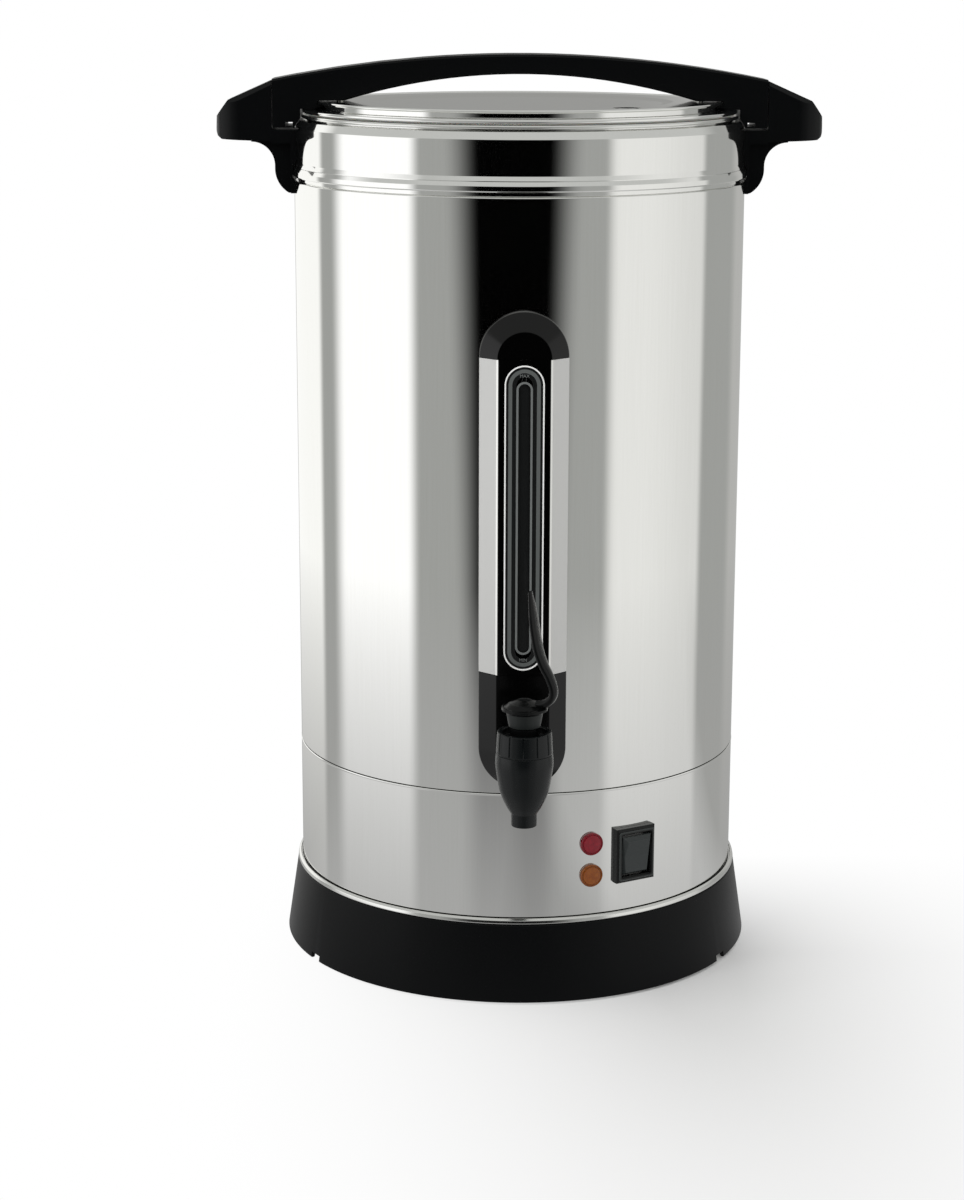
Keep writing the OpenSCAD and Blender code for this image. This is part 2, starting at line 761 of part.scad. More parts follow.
// Control points of the body's side, from the spout's shoulder to the bonnet
tap_side = [[outlet_r + 0.1, 7 - outlet_drop], [tap_r - 5.9, -16.7], [tap_r - 2.8, -9.4], [tap_r - 1.5, -2],
            [tap_r, 5.5], [tap_r, 9.3], [bonnet_r, body_top - 0.4]];

module tap_body() {
    top = body_top - fit;
    color(black_plastic)
    difference() {
        union() {
            translate([0, tap_y, tap_z]) rotate_extrude() polygon(concat(
                [[0, -outlet_drop], [outlet_r - 0.4, -outlet_drop], [outlet_r, -outlet_drop + 0.4]],
                [for (i = [0 : 18]) spline(tap_side, i / 18)],
                [[bonnet_r - 0.3, top], [0, top]]));
            bar_y(0, tap_z, tap_y, -tank_in_r + inner_washer_t + nut_t + 4, shank_r);
            bar_y(0, tap_z, gauge_front - washer_t - shoulder_t, gauge_front - washer_t - fit, 14);
        }
        translate([0, tap_y, tap_z]) {
            translate([0, 0, -seat_drop]) cylinder(h = 30, r = chamber_r);
            translate([0, 0, -outlet_drop - 1]) cylinder(h = outlet_drop + 2, r = outlet_bore);
        }
        bar_y(0, tap_z, tap_y + 9, -tank_in_r + 30, shank_r - 3);
        translate([0, tube_y, tap_z]) cylinder(h = shank_r + 1, r = 3);
    }
}

// Ribbed ring that screws into the tap body, with the deck that the lever's cam bears on
module tap_bonnet() {
    color(black_plastic)
    translate([0, tap_y, tap_z])
    difference() {
        rotate_extrude() polygon([
            [2.5 + run, deck_top - 3.4], [2.5 + run, deck_top], [12.5, deck_top], [12.5, ring_top - 0.4],
            [12.9, ring_top], [bonnet_r - 1.1, ring_top], [bonnet_r - 0.8, ring_top - 0.3],
            [bonnet_r, body_top], [chamber_r - fit, body_top], [chamber_r - fit, 6],
            [chamber_r - 1.9, 6], [chamber_r - 1.9, deck_top - 3.4]]);
        for (a = [0 : 30 : 330])
            rotate([0, 0, a]) translate([0, -bonnet_r, body_top + 1]) rotate([-3.7, 0, 0])
                cylinder(h = 20, r = 0.8);
    }
}

module tap_nut() {
    y0 = -tank_in_r + inner_washer_t + fit;
    color(black_plastic)
    difference() {
        translate([0, y0 + nut_t, tap_z]) rotate([90, 0, 0]) cylinder(h = nut_t, r = 16.5, $fn = 6);
        bar_y(0, tap_z, y0 - 1, y0 + nut_t + 1, shank_r + fit);
    }
}

// Silicone washers: one under the tap's shoulder, one between the walls, one in the tank
module tap_washers() {
    color("#c9c4b8")
    difference() {
        union() {
            bar_y(0, tap_z, gauge_front - washer_t, gauge_front - fit, 13.5);
            intersection() {
                bar_y(0, tap_z, -body_r, -tank_r + 3, 14.5);
                ring(tank_r + fit, inner_r - fit, tap_z - 20, tap_z + 20);
            }
            intersection() {
                bar_y(0, tap_z, -body_r, -tank_in_r + inner_washer_t, 15);
                translate([0, 0, tap_z - 20]) cylinder(h = 40, r = tank_in_r - fit);
            }
        }
        bar_y(0, tap_z, gauge_front - 5, -tank_in_r + 10, shank_r + fit);
    }
}

module tap_seat_cup() {
    color("#d8d4c8")
    translate([0, tap_y, tap_z]) rotate_extrude() polygon([
        [0, -seat_drop + fit], [8.2, -seat_drop + fit], [9, -seat_drop + 0.8], [9, 3.5],
        [7.8, 3.5], [6.8, -1], [3, -1], [3, 1.5], [0, 1.5]]);
}

module tap_stem() {
    color(black_plastic)
    translate([0, tap_y, tap_z])
    difference() {
        union() {
            translate([0, 0, 1.5 + fit]) cylinder(h = 2, r = 4);
            translate([0, 0, 1.5 + fit]) cylinder(h = pin_rise - 3, r = 2.5);
            rotate([0, 0, lever_az]) translate([-2.7, 0, pin_rise]) rotate([0, 90, 0])
                cylinder(h = 5.4, r = 3.8, $fn = 48);
        }
        rotate([0, 0, lever_az]) translate([-5, 0, pin_rise]) rotate([0, 90, 0])
            cylinder(h = 10, r = 1.5, $fn = 48);
    }
}

module lever_pin() {
    color(steel)
    translate([0, tap_y, tap_z]) rotate([0, 0, lever_az]) translate([-7.6, 0, pin_rise])
        rotate([0, 90, 0]) cylinder(h = 15.2, r = 1.5 - 0.02, $fn = 48);
}

spring_turns = 5;
spring_steps = 14;
module tap_spring() {
    n = spring_turns * spring_steps;
    z0 = -0.5;
    z1 = deck_top - 3.4 - 0.5;
    path = [for (i = [0 : n]) let (a = 360 * i / spring_steps)
        [5.6 * cos(a), 5.6 * sin(a), z0 + (z1 - z0) * i / n]];
    w = [for (p = path) 0.45];
    color(steel) translate([0, tap_y, tap_z]) sweep(path, w, w, [0, 0, 1], 6);
}

// Lever: a hollow hub over the stem, and a blade that curves out, up and back
blade = [[7.5, 42.6], [12.6, 43.6], [16.2, 47], [16.6, 52], [14.2, 58.6], [10.8, 65],
         [7.9, 73], [6, 83], [4.6, 93], [2.8, 106]];
blade_wide = [3.4, 3.6, 3.6, 3.5, 3.5, 3.7, 4.3, 4.8, 4, 1.2];
blade_thick = [2.6, 2.6, 2.3, 2.1, 1.9, 1.8, 1.7, 1.6, 1.4, 0.7];
blade_steps = 30;
module tap_lever() {
    path = [for (i = [0 : blade_steps]) let (q = spline(blade, i / blade_steps)) [0, -q[0], q[1]]];
    color(black_plastic)
    translate([0, tap_y, tap_z]) rotate([0, 0, lever_az])
    difference() {
        union() {
            rotate_extrude() polygon(concat(
                [[0, deck_top + 0.3], [7.6, deck_top + 0.3], [8, deck_top + 0.8], [8.4, 28.6], [8.8, 29.2],
                 [10.4, 37.4], [12.7, 38.6], [13, 39.2], [13, 39.8], [12.6, 40.3], [10.2, 40.3]],
                arc_points(0, 32.2, 13, 35, 90, 6)));
            sweep(path,
                  [for (i = [0 : blade_steps]) spline(blade_wide, i / blade_steps)],
                  [for (i = [0 : blade_steps]) spline(blade_thick, i / blade_steps)],
                  [1, 0, 0], 12);
        }
        translate([-3, -10, deck_top - 1]) cube([6, 13, pin_rise - deck_top + 1]);
        translate([-3, 0, pin_rise]) rotate([0, 90, 0]) cylinder(h = 6, r = 4.4, $fn = 48);
        translate([-20, 0, pin_rise]) rotate([0, 90, 0]) cylinder(h = 40, r = 1.5 + 0.04, $fn = 48);
    }
}

// ---------- side handles and lid handle ----------

handle_screw_z = [collar_z + 11.5, collar_z + 22.5];
handle_screw_y = 6;

module handle_screw_holes(side, r) {
    rotate([0, 0, side]) for (z = handle_screw_z, y = [-handle_screw_y, handle_screw_y])
        translate([collar_r - 4, y, z]) rotate([0, 90, 0]) cylinder(h = 8, r = r, $fn = 32);
}

// Outline of the body and its collar, grown by a gap, to shape what sits against it
module neck_envelope(gap) {
    rotate_extrude() polygon([
        [0, collar_z - 80], [body_r + gap, collar_z - 80], [body_r + gap, shoulder_z + 1],
        [bead_r + gap, collar_z - 1], [bead_r + gap, collar_z + 4],
        [collar_r + gap, collar_z + 8.8], [collar_r + gap, collar_top_z + 0.4],
        [slope_r + gap, neck_z - 0.4], [neck_r + gap, neck_z + gap], [0, neck_z + gap]]);
}

saddle_t = 2.5;
web_w = 22;
gusset_x = 146;
gusset_r = 16.5;
corner_r = 13.9;
foot_z = collar_z - 10.2;
wing_slope = 25.3;
wing_chamfer = 5;

// Front outline of a side handle: wing, shelf, and the web that runs down the collar
module web_outline() {
    hip_z = foot_z + 14.2;
    difference() {
        union() {
            translate([collar_r - 4, hip_z + 2]) square([gusset_x + corner_r - collar_r + 4, wing_z - hip_z]);
            intersection() {
                translate([gusset_x - gusset_r, hip_z]) circle(r = gusset_r);
                translate([collar_r - 4, foot_z]) square([30, 30]);
            }
            translate([collar_r - 4, hip_z]) square([gusset_x - collar_r + 4, 6]);
        }
        translate([gusset_x + corner_r, hip_z + 2]) circle(r = corner_r);
        translate([gusset_x + corner_r, hip_z - 20]) square([30, 60]);
    }
}

module side_handle() {
    w = handle_w / 2;
    top_z = arch_top_z - (arch_top_r - sqrt(pow(arch_top_r, 2) - pow(arm_r - 2.6, 2)));
    difference() {
        union() {
            // wing, with a fully rounded outer end
            intersection() {
                translate([0, w, 0]) rotate([90, 0, 0]) linear_extrude(height = handle_w) polygon([
                    [arm_r - 16, shelf_z], [arm_r - 16, wing_z], [wing_x - 3.9, wing_z + 1.6],
                    [wing_x - 1.2, wing_z + 3.4], [wing_x, wing_z + 6.4], [wing_x - 0.6, wing_z + 15],
                    [wing_x - 7.9, wing_z + 24.6], [arm_r - 2.6, top_z], [arm_r - 16, top_z + 2]]);
                union() {
                    translate([wing_x - w, 0, wing_z - 10]) cylinder(h = 80, r = w);
                    translate([100, -w, wing_z - 10]) cube([wing_x - w - 100, handle_w, 80]);
                }
            }
            // web and saddle down the side of the collar
            translate([0, web_w / 2, 0]) rotate([90, 0, 0]) linear_extrude(height = web_w) web_outline();
            translate([collar_r - 4, -w, foot_z]) cube([saddle_t + 4, handle_w, wing_z - foot_z + 5]);
            translate([collar_r - 4, -w, shelf_z - 8]) cube([arm_r - collar_r + 4, handle_w, 8]);
        }
        // the lid handle's arm stands here
        translate([0, 0, shelf_z]) cylinder(h = 80, r = arm_r + pass);
        neck_envelope(fit);
        // facets along the wing's sloped top
        for (s = [-1, 1])
            translate([145, s * (w + 0.01), top_z]) rotate([0, wing_slope, 0]) rotate([s * -40, 0, 0])
                translate([-10, s > 0 ? -wing_chamfer : wing_chamfer - 40, -0.2]) translate([0, 0, -1.5])
                    cube([60, 40, 20]);
        handle_screw_bores();
    }
}

// Blind holes for the screws that come from inside the collar
module handle_screw_bores() {
    for (z = handle_screw_z, y = [-handle_screw_y, handle_screw_y])
        translate([collar_r - 4, y, z]) rotate([0, 90, 0]) cylinder(h = 13, r = screw_r + 0.1, $fn = 32);
}

module side_handle_right() { color(black_plastic) side_handle(); }
module side_handle_left() { color(black_plastic) mirror([1, 0, 0]) side_handle(); }

module side_handle_screws() {
    color(satin_steel)
    for (side = [0, 180], z = handle_screw_z, y = [-handle_screw_y, handle_screw_y])
        rotate([0, 0, side]) translate([0, y, z]) rotate([0, 90, 0]) {
            head = sqrt(pow(collar_r - steel_t, 2) - pow(handle_screw_y + 3.4, 2)) - fit;
            translate([0, 0, head - 2.4]) cylinder(h = 2.4, r = 3.4, $fn = 32);
            translate([0, 0, head - 1]) cylinder(h = 10, r = screw_r, $fn = 32);
        }
}

// A drum about an axis along Y; its rims slope at 45 degrees, and it can be wider than the handle
module drum(r, slope, z, past) {
    w = handle_w / 2;
    rim = r - slope - sign(slope) * past;
    e = w + past;
    translate([0, 0, z]) rotate([90, 0, 0]) rotate_extrude($fn = 360) polygon([
        [0, -e], [rim, -e], [r, -w + abs(slope)], [r, w - abs(slope)], [rim, e], [0, e]]);
}

// Outline of the lid and the tank's rim, which the lid handle's ends are moulded round
module lid_envelope() {
    gap = 0.1;
    rotate_extrude() polygon([
        [0, collar_z], [collar_r + 0.4, collar_z], [collar_r + 0.4, collar_top_z + 0.4],
        [slope_r + pass, neck_z - 0.3], [rim_r + pass, neck_z + 0.7], [rim_r + pass, ledge_top_z + gap],
        [lid_wall_r + gap, ledge_top_z + gap], [lid_wall_r + gap, bead_z - cap_bead - gap],
        [lid_wall_r + 3.2 + gap, bead_z - cap_bead - gap], [lid_wall_r + 3.2 + gap, lid_top_z + gap],
        [0, lid_top_z + gap]]);
}

lid_screw_at = [107, 8];
module lid_handle() {
    w = handle_w / 2;
    notch_x = collar_r + 0.9;
    under_x = rim_r - 6;
    color(black_plastic)
    difference() {
        intersection() {
            translate([0, 0, arm_z]) cylinder(h = 80, r = arm_r);
            drum(arch_top_r, 1.2, arch_top_z - arch_top_r, 0);
        }
        // the arch's underside ends over the flange, so the arms reach down to the side handles
        intersection() {
            drum(arch_under_r, -1.2, arch_top_z - arch_t - arch_under_r, 1);
            translate([-under_x, -w - 5, arm_z - 5]) cube([2 * under_x, handle_w + 10, 60]);
        }
        lid_envelope();
        for (s = [0, 180]) rotate([0, 0, s]) {
            translate([notch_x, -w - 1, arm_z + 0.9]) cube([4.4, handle_w + 2, 2.4]);
            for (y = [-1, 1]) translate([lid_screw_at[0], y * lid_screw_at[1], lid_top_z - 2])
                cylinder(h = 11, r = screw_r + 0.1, $fn = 32);
        }
    }
}

// ---------- lid ----------

cap_under_z = lid_top_z - 0.6 - steel_t;
module lid_handle_screws() {
    color(satin_steel)
    for (s = [0, 180], y = [-1, 1])
        rotate([0, 0, s]) translate([lid_screw_at[0], y * lid_screw_at[1], cap_under_z - fit]) {
            translate([0, 0, -2.2]) cylinder(h = 2.2, r = 3.4, $fn = 32);
            translate([0, 0, -1]) cylinder(h = 10, r = screw_r, $fn = 32);
        }
}

module lid_cap() {
    edge_r = lid_wall_r + 3.2 - cap_bead;
    color(steel)
    difference() {
        union() {
            rotate_extrude() {
                polygon([
                    [0, cap_under_z - panel_d], [panel_r, cap_under_z - panel_d],
                    [panel_r + 1.2, cap_under_z], [edge_r, cap_under_z],
                    [edge_r, cap_under_z + steel_t], [panel_r + 1, cap_under_z + steel_t],
                    [panel_r - 0.2, cap_under_z + steel_t - panel_d], [0, cap_under_z + steel_t - panel_d]]);
                translate([edge_r, bead_z]) circle(r = cap_bead);
            }
            toward(vent_az, cap_under_z) translate([0, -vent_at_r, 0]) ring(vent_r, vent_r + 1.3, 0.1, 1.9);
        }
        toward(vent_az, cap_under_z - 1) translate([0, -vent_at_r, 0]) cylinder(h = 4, r = vent_r);
        for (s = [0, 180], y = [-1, 1])
            rotate([0, 0, s]) translate([lid_screw_at[0], y * lid_screw_at[1], cap_under_z - 2])
                cylinder(h = 5, r = 2.1, $fn = 32);
    }
}
vent_at_r = panel_r + 1.2 + vent_r + 3;

plug_h = 9;
plug_in = 0.8;
// Flange, upright wall and plug skirt of the lid
module lid_ring() {
    wall_top = cap_under_z - fit;
    color(steel)
    rotate_extrude() {
        polygon([
            [lid_wall_r - steel_t, ledge_z], [flange_r - 0.9, ledge_z], [flange_r - 0.9, ledge_top_z],
            [lid_wall_r, ledge_top_z], [lid_wall_r, wall_top], [lid_wall_r - 5, wall_top],
            [lid_wall_r - 5, wall_top - steel_t], [lid_wall_r - steel_t, wall_top - steel_t]]);
        difference() {
            translate([flange_r - 1, ledge_top_z - 1.1]) circle(r = 1);
            translate([flange_r - 5, ledge_top_z - 3]) square([6, 0.95]);
        }
        translate([plug_r - plug_in, ledge_z - plug_h]) square([plug_in, plug_h + 0.3]);
    }
}

module lid_seal() {
    color("#d9d9d4")
    rotate_extrude() polygon([
        [plug_r + fit, seal_z - 5], [plug_r + 0.5, seal_z - 5], [tank_in_r - 0.15, seal_z - 3.4],
        [tank_in_r - 0.15, web_z], [tank_in_r + 0.4, seal_z], [flange_r - 2.1, seal_z],
        [flange_r - 2.1, ledge_z - fit], [plug_r + fit, ledge_z - fit]]);
}

// ---------- percolator ----------

pump_z = tank_z - well_d + steel_t + 0.05;
pump_top_z = pump_z + pump_l;
bell_r = well_r - 2.5;
bell_h = 20;
basket_z = tank_z + basket_lift;
valve_z = pump_z + 3.1;

module pump_tube() {
    ring_z = basket_z - pump_z - 2.05;
    color(steel)
    difference() {
        translate([0, 0, pump_z]) rotate_extrude() polygon(concat(
            [[6.5, 0], [bell_r, 0], [bell_r, 2.5]],
            [for (i = [1 : 8]) let (t = i / 8)
                [bell_r + (pump_r - bell_r) * smooth(t), 2.5 + (bell_h - 2.5) * t]],
            [[pump_r, ring_z], [13, ring_z], [13, ring_z + 2], [pump_r, ring_z + 2],
             [pump_r, pump_l], [pump_r - 1, pump_l]],
            [for (i = [8 : -1 : 0]) let (t = i / 8)
                [bell_r - 1.8 + (pump_r - bell_r + 0.8) * smooth(t), 4 + (bell_h - 6) * t]],
            [[bell_r - 2.5, 3], [6.5, 3]]));
        for (a = [0 : 60 : 300])
            rotate([0, 0, a]) translate([bell_r - 5, -3, pump_z - 1]) cube([8, 6, 2.5]);
    }
}

module pump_valve() {
    color(satin_steel) translate([0, 0, valve_z]) cylinder(h = 0.9, r = 9);
}

basket_t = 0.7;
basket_taper = 5;
module coffee_basket() {
    floor_r = basket_r - basket_taper;
    color(steel)
    difference() {
        rotate_extrude() polygon([
            [pump_r + 0.8, basket_z], [floor_r - 3, basket_z], [floor_r, basket_z + 3],
            [basket_r, basket_z + basket_h - 2], [basket_r + 1.6, basket_z + basket_h - 1.6],
            [basket_r + 1.6, basket_z + basket_h], [basket_r - basket_t, basket_z + basket_h],
            [floor_r - basket_t, basket_z + 3.2], [floor_r - 3.2, basket_z + basket_t],
            [pump_r + 0.8 + basket_t, basket_z + basket_t], [pump_r + 0.8 + basket_t, basket_z + basket_h - 10],
            [pump_r + 0.8, basket_z + basket_h - 10]]);
        for (q = [[28, 10], [50, 16], [72, 24]], i = [1 : q[1]])
            rotate([0, 0, 360 * i / q[1]]) translate([q[0], 0, basket_z - 1]) cylinder(h = 3, r = 1.6, $fn = 24);
    }
}

cover_z = basket_z + basket_h + 0.05;
module basket_cover() {
    color(steel)
    difference() {
        rotate_extrude() polygon([
            [pump_r + 0.8, cover_z + 3], [24, cover_z + 3], [60, cover_z], [basket_r + 1.4, cover_z],
            [basket_r + 1.4, cover_z + 2.6], [basket_r + 0.7, cover_z + 2.6],
            [basket_r + 0.7, cover_z + basket_t], [60, cover_z + basket_t],
            [24, cover_z + 3 + basket_t], [pump_r + 0.8, cover_z + 3 + basket_t]]);
        for (q = [[40, 12], [70, 20]], i = [1 : q[1]])
            rotate([0, 0, 360 * i / q[1]]) translate([q[0], 0, cover_z - 1]) cylinder(h = 6, r = 1.6, $fn = 24);
    }
}

// ---------- lamps and switch ----------

// A lamp lens on a threaded barrel, seen from the front as a low dome
module lamp(z) {
    dome_r = 14;
    toward(lamp_az, z) {
        difference() {
            bar_y(0, 0, -body_r - 1.5, -body_r + 2, lamp_r);
            translate([0, 0, -20]) cylinder(h = 40, r = body_r + fit);
        }
        intersection() {
            bar_y(0, 0, -body_r - 6, -body_r - 1, lamp_r - 0.3);
            translate([0, -body_r - 3.2 + dome_r, 0]) sphere(r = dome_r);
        }
        bar_y(0, 0, -body_r - 1, -body_r + 16, 5);
    }
}

module red_lamp() { color("#8e1c2e") lamp(deck_z + red_h); }
module amber_lamp() { color("#9a5a1e") lamp(deck_z + amber_h); }

module lamp_nuts() {
    color(satin_steel)
    for (z = [red_h, amber_h])
        toward(lamp_az, deck_z + z)
            difference() {
                translate([0, -inner_r + 0.35 + 3.2, 0]) rotate([90, 0, 0]) cylinder(h = 3.2, r = 8, $fn = 6);
                bar_y(0, 0, -body_r, -body_r + 10, 5 + fit);
            }
}

rocker_half = [9.6, 12.2];
rocker_depth = 5;
rocker_y = -(body_r + switch_proud - 3.2);

module switch_housing() {
    hx = switch_plate[0] / 2;
    hz = switch_plate[1] / 2;
    color(black_plastic)
    toward(switch_az, deck_z + switch_h)
        difference() {
            union() {
                difference() {
                    translate([-hx, -body_r - switch_proud, -hz])
                        cube([2 * hx, switch_proud + 3, 2 * hz]);
                    translate([0, 0, -30]) cylinder(h = 60, r = body_r + fit);
                    for (s = [-1, 1]) translate([s * hx, -body_r - switch_proud, -hz - 1])
                        rotate([0, 0, 45]) translate([-0.6, -0.6, 0]) cube([1.2, 1.2, 2 * hz + 2]);
                    for (s = [-1, 1]) translate([-hx - 1, -body_r - switch_proud, s * hz])
                        rotate([45, 0, 0]) translate([0, -0.6, -0.6]) cube([2 * hx + 2, 1.2, 1.2]);
                }
                translate([-11.2, -body_r - 1, -15]) cube([22.4, 22, 30]);
                for (x = [-5, 5], z = [-8, 8])
                    translate([x - 0.4, -body_r + 20, z - 3]) cube([0.8, 9, 6]);
            }
            translate([-rocker_half[0] - 0.3, -body_r - switch_proud - 1, -rocker_half[1] - 0.7])
                cube([2 * rocker_half[0] + 0.6, rocker_depth + 7, 2 * rocker_half[1] + 1.4]);
            translate([-rocker_half[0] - 0.8, rocker_y, 0]) rotate([0, 90, 0])
                cylinder(h = 2 * rocker_half[0] + 1.6, r = 1.5 + run, $fn = 48);
        }
}

// Rocker: a shallow V seen from the side, bevelled all round, on two stub pins
module switch_rocker() {
    color("#2b2d2d")
    toward(switch_az, deck_z + switch_h)
        translate([0, rocker_y, 0]) {
            rotate([rocker_travel / 2, 0, 0]) intersection() {
                w = rocker_half[0];
                h = rocker_half[1];
                translate([-w - 1, 0, 0]) rotate([0, 90, 0]) linear_extrude(height = 2 * w + 2)
                    polygon([[0, -3.6], [2.3 - h, -4.9], [-h, -2.2], [0.8 - h, 2.6], [-4, 4.2],
                             [4, 4.2], [h - 0.8, 2.6], [h, -2.2], [h - 2.3, -4.9]]);
                translate([0, 0, -h - 1]) linear_extrude(height = 2 * h + 2)
                    polygon([[-w, 5], [-w, -2], [2.6 - w, -5.4], [w - 2.6, -5.4], [w, -2], [w, 5]]);
            }
            translate([-rocker_half[0] - 0.7, 0, 0]) rotate([0, 90, 0])
                cylinder(h = 2 * rocker_half[0] + 1.4, r = 1.5, $fn = 48);
        }
}

// ---------- the pieces ----------

base_skirt();
base_plate();
rubber_feet();
base_screws();
trim_ring();
lower_shell();
upper_shell();
collar();
inner_tank();
heater_plate();
heating_element();
boil_thermostat();
warm_thermostat();
thermal_fuse();
terminal_block();
internal_wires();
earth_stud();
cord_gland();
gauge_base();
gauge_cap();
gauge_rails();
gauge_strip();
gauge_bezel();
gauge_window();
slot_trim();
sight_tube();
tube_seals();
gauge_screws();
tap_body();
tap_bonnet();
tap_nut();
tap_washers();
tap_seat_cup();
tap_stem();
tap_spring();
tap_lever();
lever_pin();
side_handle_left();
side_handle_right();
side_handle_screws();
red_lamp();
amber_lamp();
lamp_nuts();
switch_housing();
switch_rocker();
lid_cap();
lid_ring();
lid_seal();
lid_handle();
lid_handle_screws();
pump_tube();
pump_valve();
coffee_basket();
basket_cover();
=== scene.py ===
import math
import bmesh
import bpy
from mathutils import Matrix, Vector


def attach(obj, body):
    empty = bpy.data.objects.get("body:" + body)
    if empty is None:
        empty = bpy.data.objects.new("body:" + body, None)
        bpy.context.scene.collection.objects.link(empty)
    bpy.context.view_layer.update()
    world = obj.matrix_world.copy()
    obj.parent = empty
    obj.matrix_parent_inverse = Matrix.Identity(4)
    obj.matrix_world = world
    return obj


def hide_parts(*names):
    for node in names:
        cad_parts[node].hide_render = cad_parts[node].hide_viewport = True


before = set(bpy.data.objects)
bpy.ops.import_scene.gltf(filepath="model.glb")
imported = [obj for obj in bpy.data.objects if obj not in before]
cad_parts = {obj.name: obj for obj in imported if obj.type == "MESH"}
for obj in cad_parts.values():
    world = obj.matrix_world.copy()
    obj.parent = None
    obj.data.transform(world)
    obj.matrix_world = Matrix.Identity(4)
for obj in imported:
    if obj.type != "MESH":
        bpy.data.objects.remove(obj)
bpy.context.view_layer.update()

scene = bpy.context.scene
mm = 0.001         # the profiles below are in mm, the scene is in metres


# ---- Studio: a long lens a little above the lid, a pale table, and a white tent ----
# The urn stands on a white table in a white tent. Polished steel is judged by what it
# mirrors, so the tent has grey walls, two soft boxes and a black flag behind the camera.

def linear(hex_colour):
    """sRGB hex to a linear colour."""
    parts = [int(hex_colour[i:i + 2], 16) / 255 for i in (1, 3, 5)]
    return tuple(c / 12.92 if c <= 0.04045 else ((c + 0.055) / 1.055) ** 2.4 for c in parts) + (1.0,)


def add(tree, kind, inputs=None, **settings):
    """Adds one shader node; inputs maps a socket to a value or to another node's output."""
    new = tree.nodes.new("ShaderNode" + kind)
    for key, value in settings.items():
        setattr(new, key, value)
    for key, value in (inputs or {}).items():
        socket = new.inputs[key]
        if isinstance(value, bpy.types.NodeSocket):
            tree.links.new(value, socket)
        else:
            socket.default_value = value
    return new


def ramp(tree, value, start, stop, low=0.0, high=1.0, kind="LINEAR"):
    """Takes a value from low at start to high at stop, and holds it beyond both."""
    return add(tree, "MapRange", {"Value": value, "From Min": start, "From Max": stop, "To Min": low,
               "To Max": high}, interpolation_type=kind).outputs[0]


def maths(tree, operation, *values):
    """One step of arithmetic on numbers or sockets."""
    return add(tree, "Math", dict(enumerate(values)), operation=operation).outputs[0]


def blend(tree, amount, *pair):
    """Mixes two colours, each a hex text or a socket."""
    first, second = (linear(c) if isinstance(c, str) else c for c in pair)
    return add(tree, "MixRGB", {"Fac": amount, "Color1": first, "Color2": second}).outputs[0]


camera = bpy.data.objects.new("camera", bpy.data.cameras.new("camera"))
scene.collection.objects.link(camera)
camera.location = (-0.0397, -1.6226, 0.59504)
camera.rotation_euler = (math.radians(90 - 13.3136), math.radians(-0.14), math.radians(-0.599))
camera.data.sensor_fit = "VERTICAL"
camera.data.sensor_height = 36
camera.data.lens = 80.18
camera.data.clip_start = 0.05
scene.camera = camera
scene.view_settings.view_transform = "Standard"

# What the steel mirrors, by direction in degrees right of the front:
# (from, its fade, to, its fade, sRGB grey)
TENT_GREY = "#9a9b99"
CEILING_GREY = "#b9bab8"
SOFT_BOXES = [
    (-106.5, 12, -55.9, 8, "#ffffff"),    # large soft box on the left
    (46.9, 10, 106.6, 6, "#d3d3d1"),       # large soft box on the right, turned down
    (46.9, 10, 84.0, 44, "#e0e0de"),       # its brighter half
    (-181.4, 3, -123.0, 6, "#f6f6f4"),    # white strip behind on the left
    (140.6, 12, 176.0, 6, "#adadab"),     # pale corner behind on the right
    (169.0, 3, 191.5, 3, "#c2c2c0"),      # back wall, which only the lid's flat top mirrors
    (174.5, 4, 182.8, 0.8, "#939391"),    # a darker door in it
]
FLAG = (-3.9, 24.2, 17)                   # black flag round the camera: middle, half width, fade
# Heights in it, as the sine of the angle above the horizon
FLAG_FOOT, FLAG_WAIST = -0.30, -0.04      # the flag narrows from its waist down to its foot,
FLAG_NARROW, FLAG_WIDE = 0.85, 1.17       # from and to these parts of its width
FLAG_TOP = (0.22, 0.10)                   # where it has ended, and where it starts to
CEILING = (0.38, 0.50)                    # where the walls bend into the ceiling
# How bright it is: to paint and plastic, in polished metal, and to the camera
FILL, IN_METAL, TO_CAMERA = 0.62, 1.08, 1.0

world = bpy.data.worlds.new("white_tent")
scene.world = world
world.use_nodes = True
tree = world.node_tree
tree.nodes.clear()
ray = add(tree, "LightPath").outputs
direction = add(tree, "SeparateXYZ", {0: add(tree, "TexCoord").outputs["Generated"]}).outputs
turn = maths(tree, "ARCTAN2", direction["X"], maths(tree, "MULTIPLY", direction["Y"], -1.0))
degrees = maths(tree, "MULTIPLY", turn, 180 / math.pi)


def sector(start, fade_in, stop, fade_out, narrowed=1.0):
    """1 where the direction lies between two angles, fading to 0 over the width given for each."""
    half = (stop - start) / 2
    off = maths(tree, "ADD", degrees, -(start + stop) / 2)
    off = maths(tree, "MULTIPLY", maths(tree, "WRAP", off, 180.0, -180.0), narrowed)
    rise = ramp(tree, off, -half - fade_in / 2, -half + fade_in / 2, kind="SMOOTHSTEP")
    fall = ramp(tree, off, half + fade_out / 2, half - fade_out / 2, kind="SMOOTHSTEP")
    return maths(tree, "MULTIPLY", rise, fall)


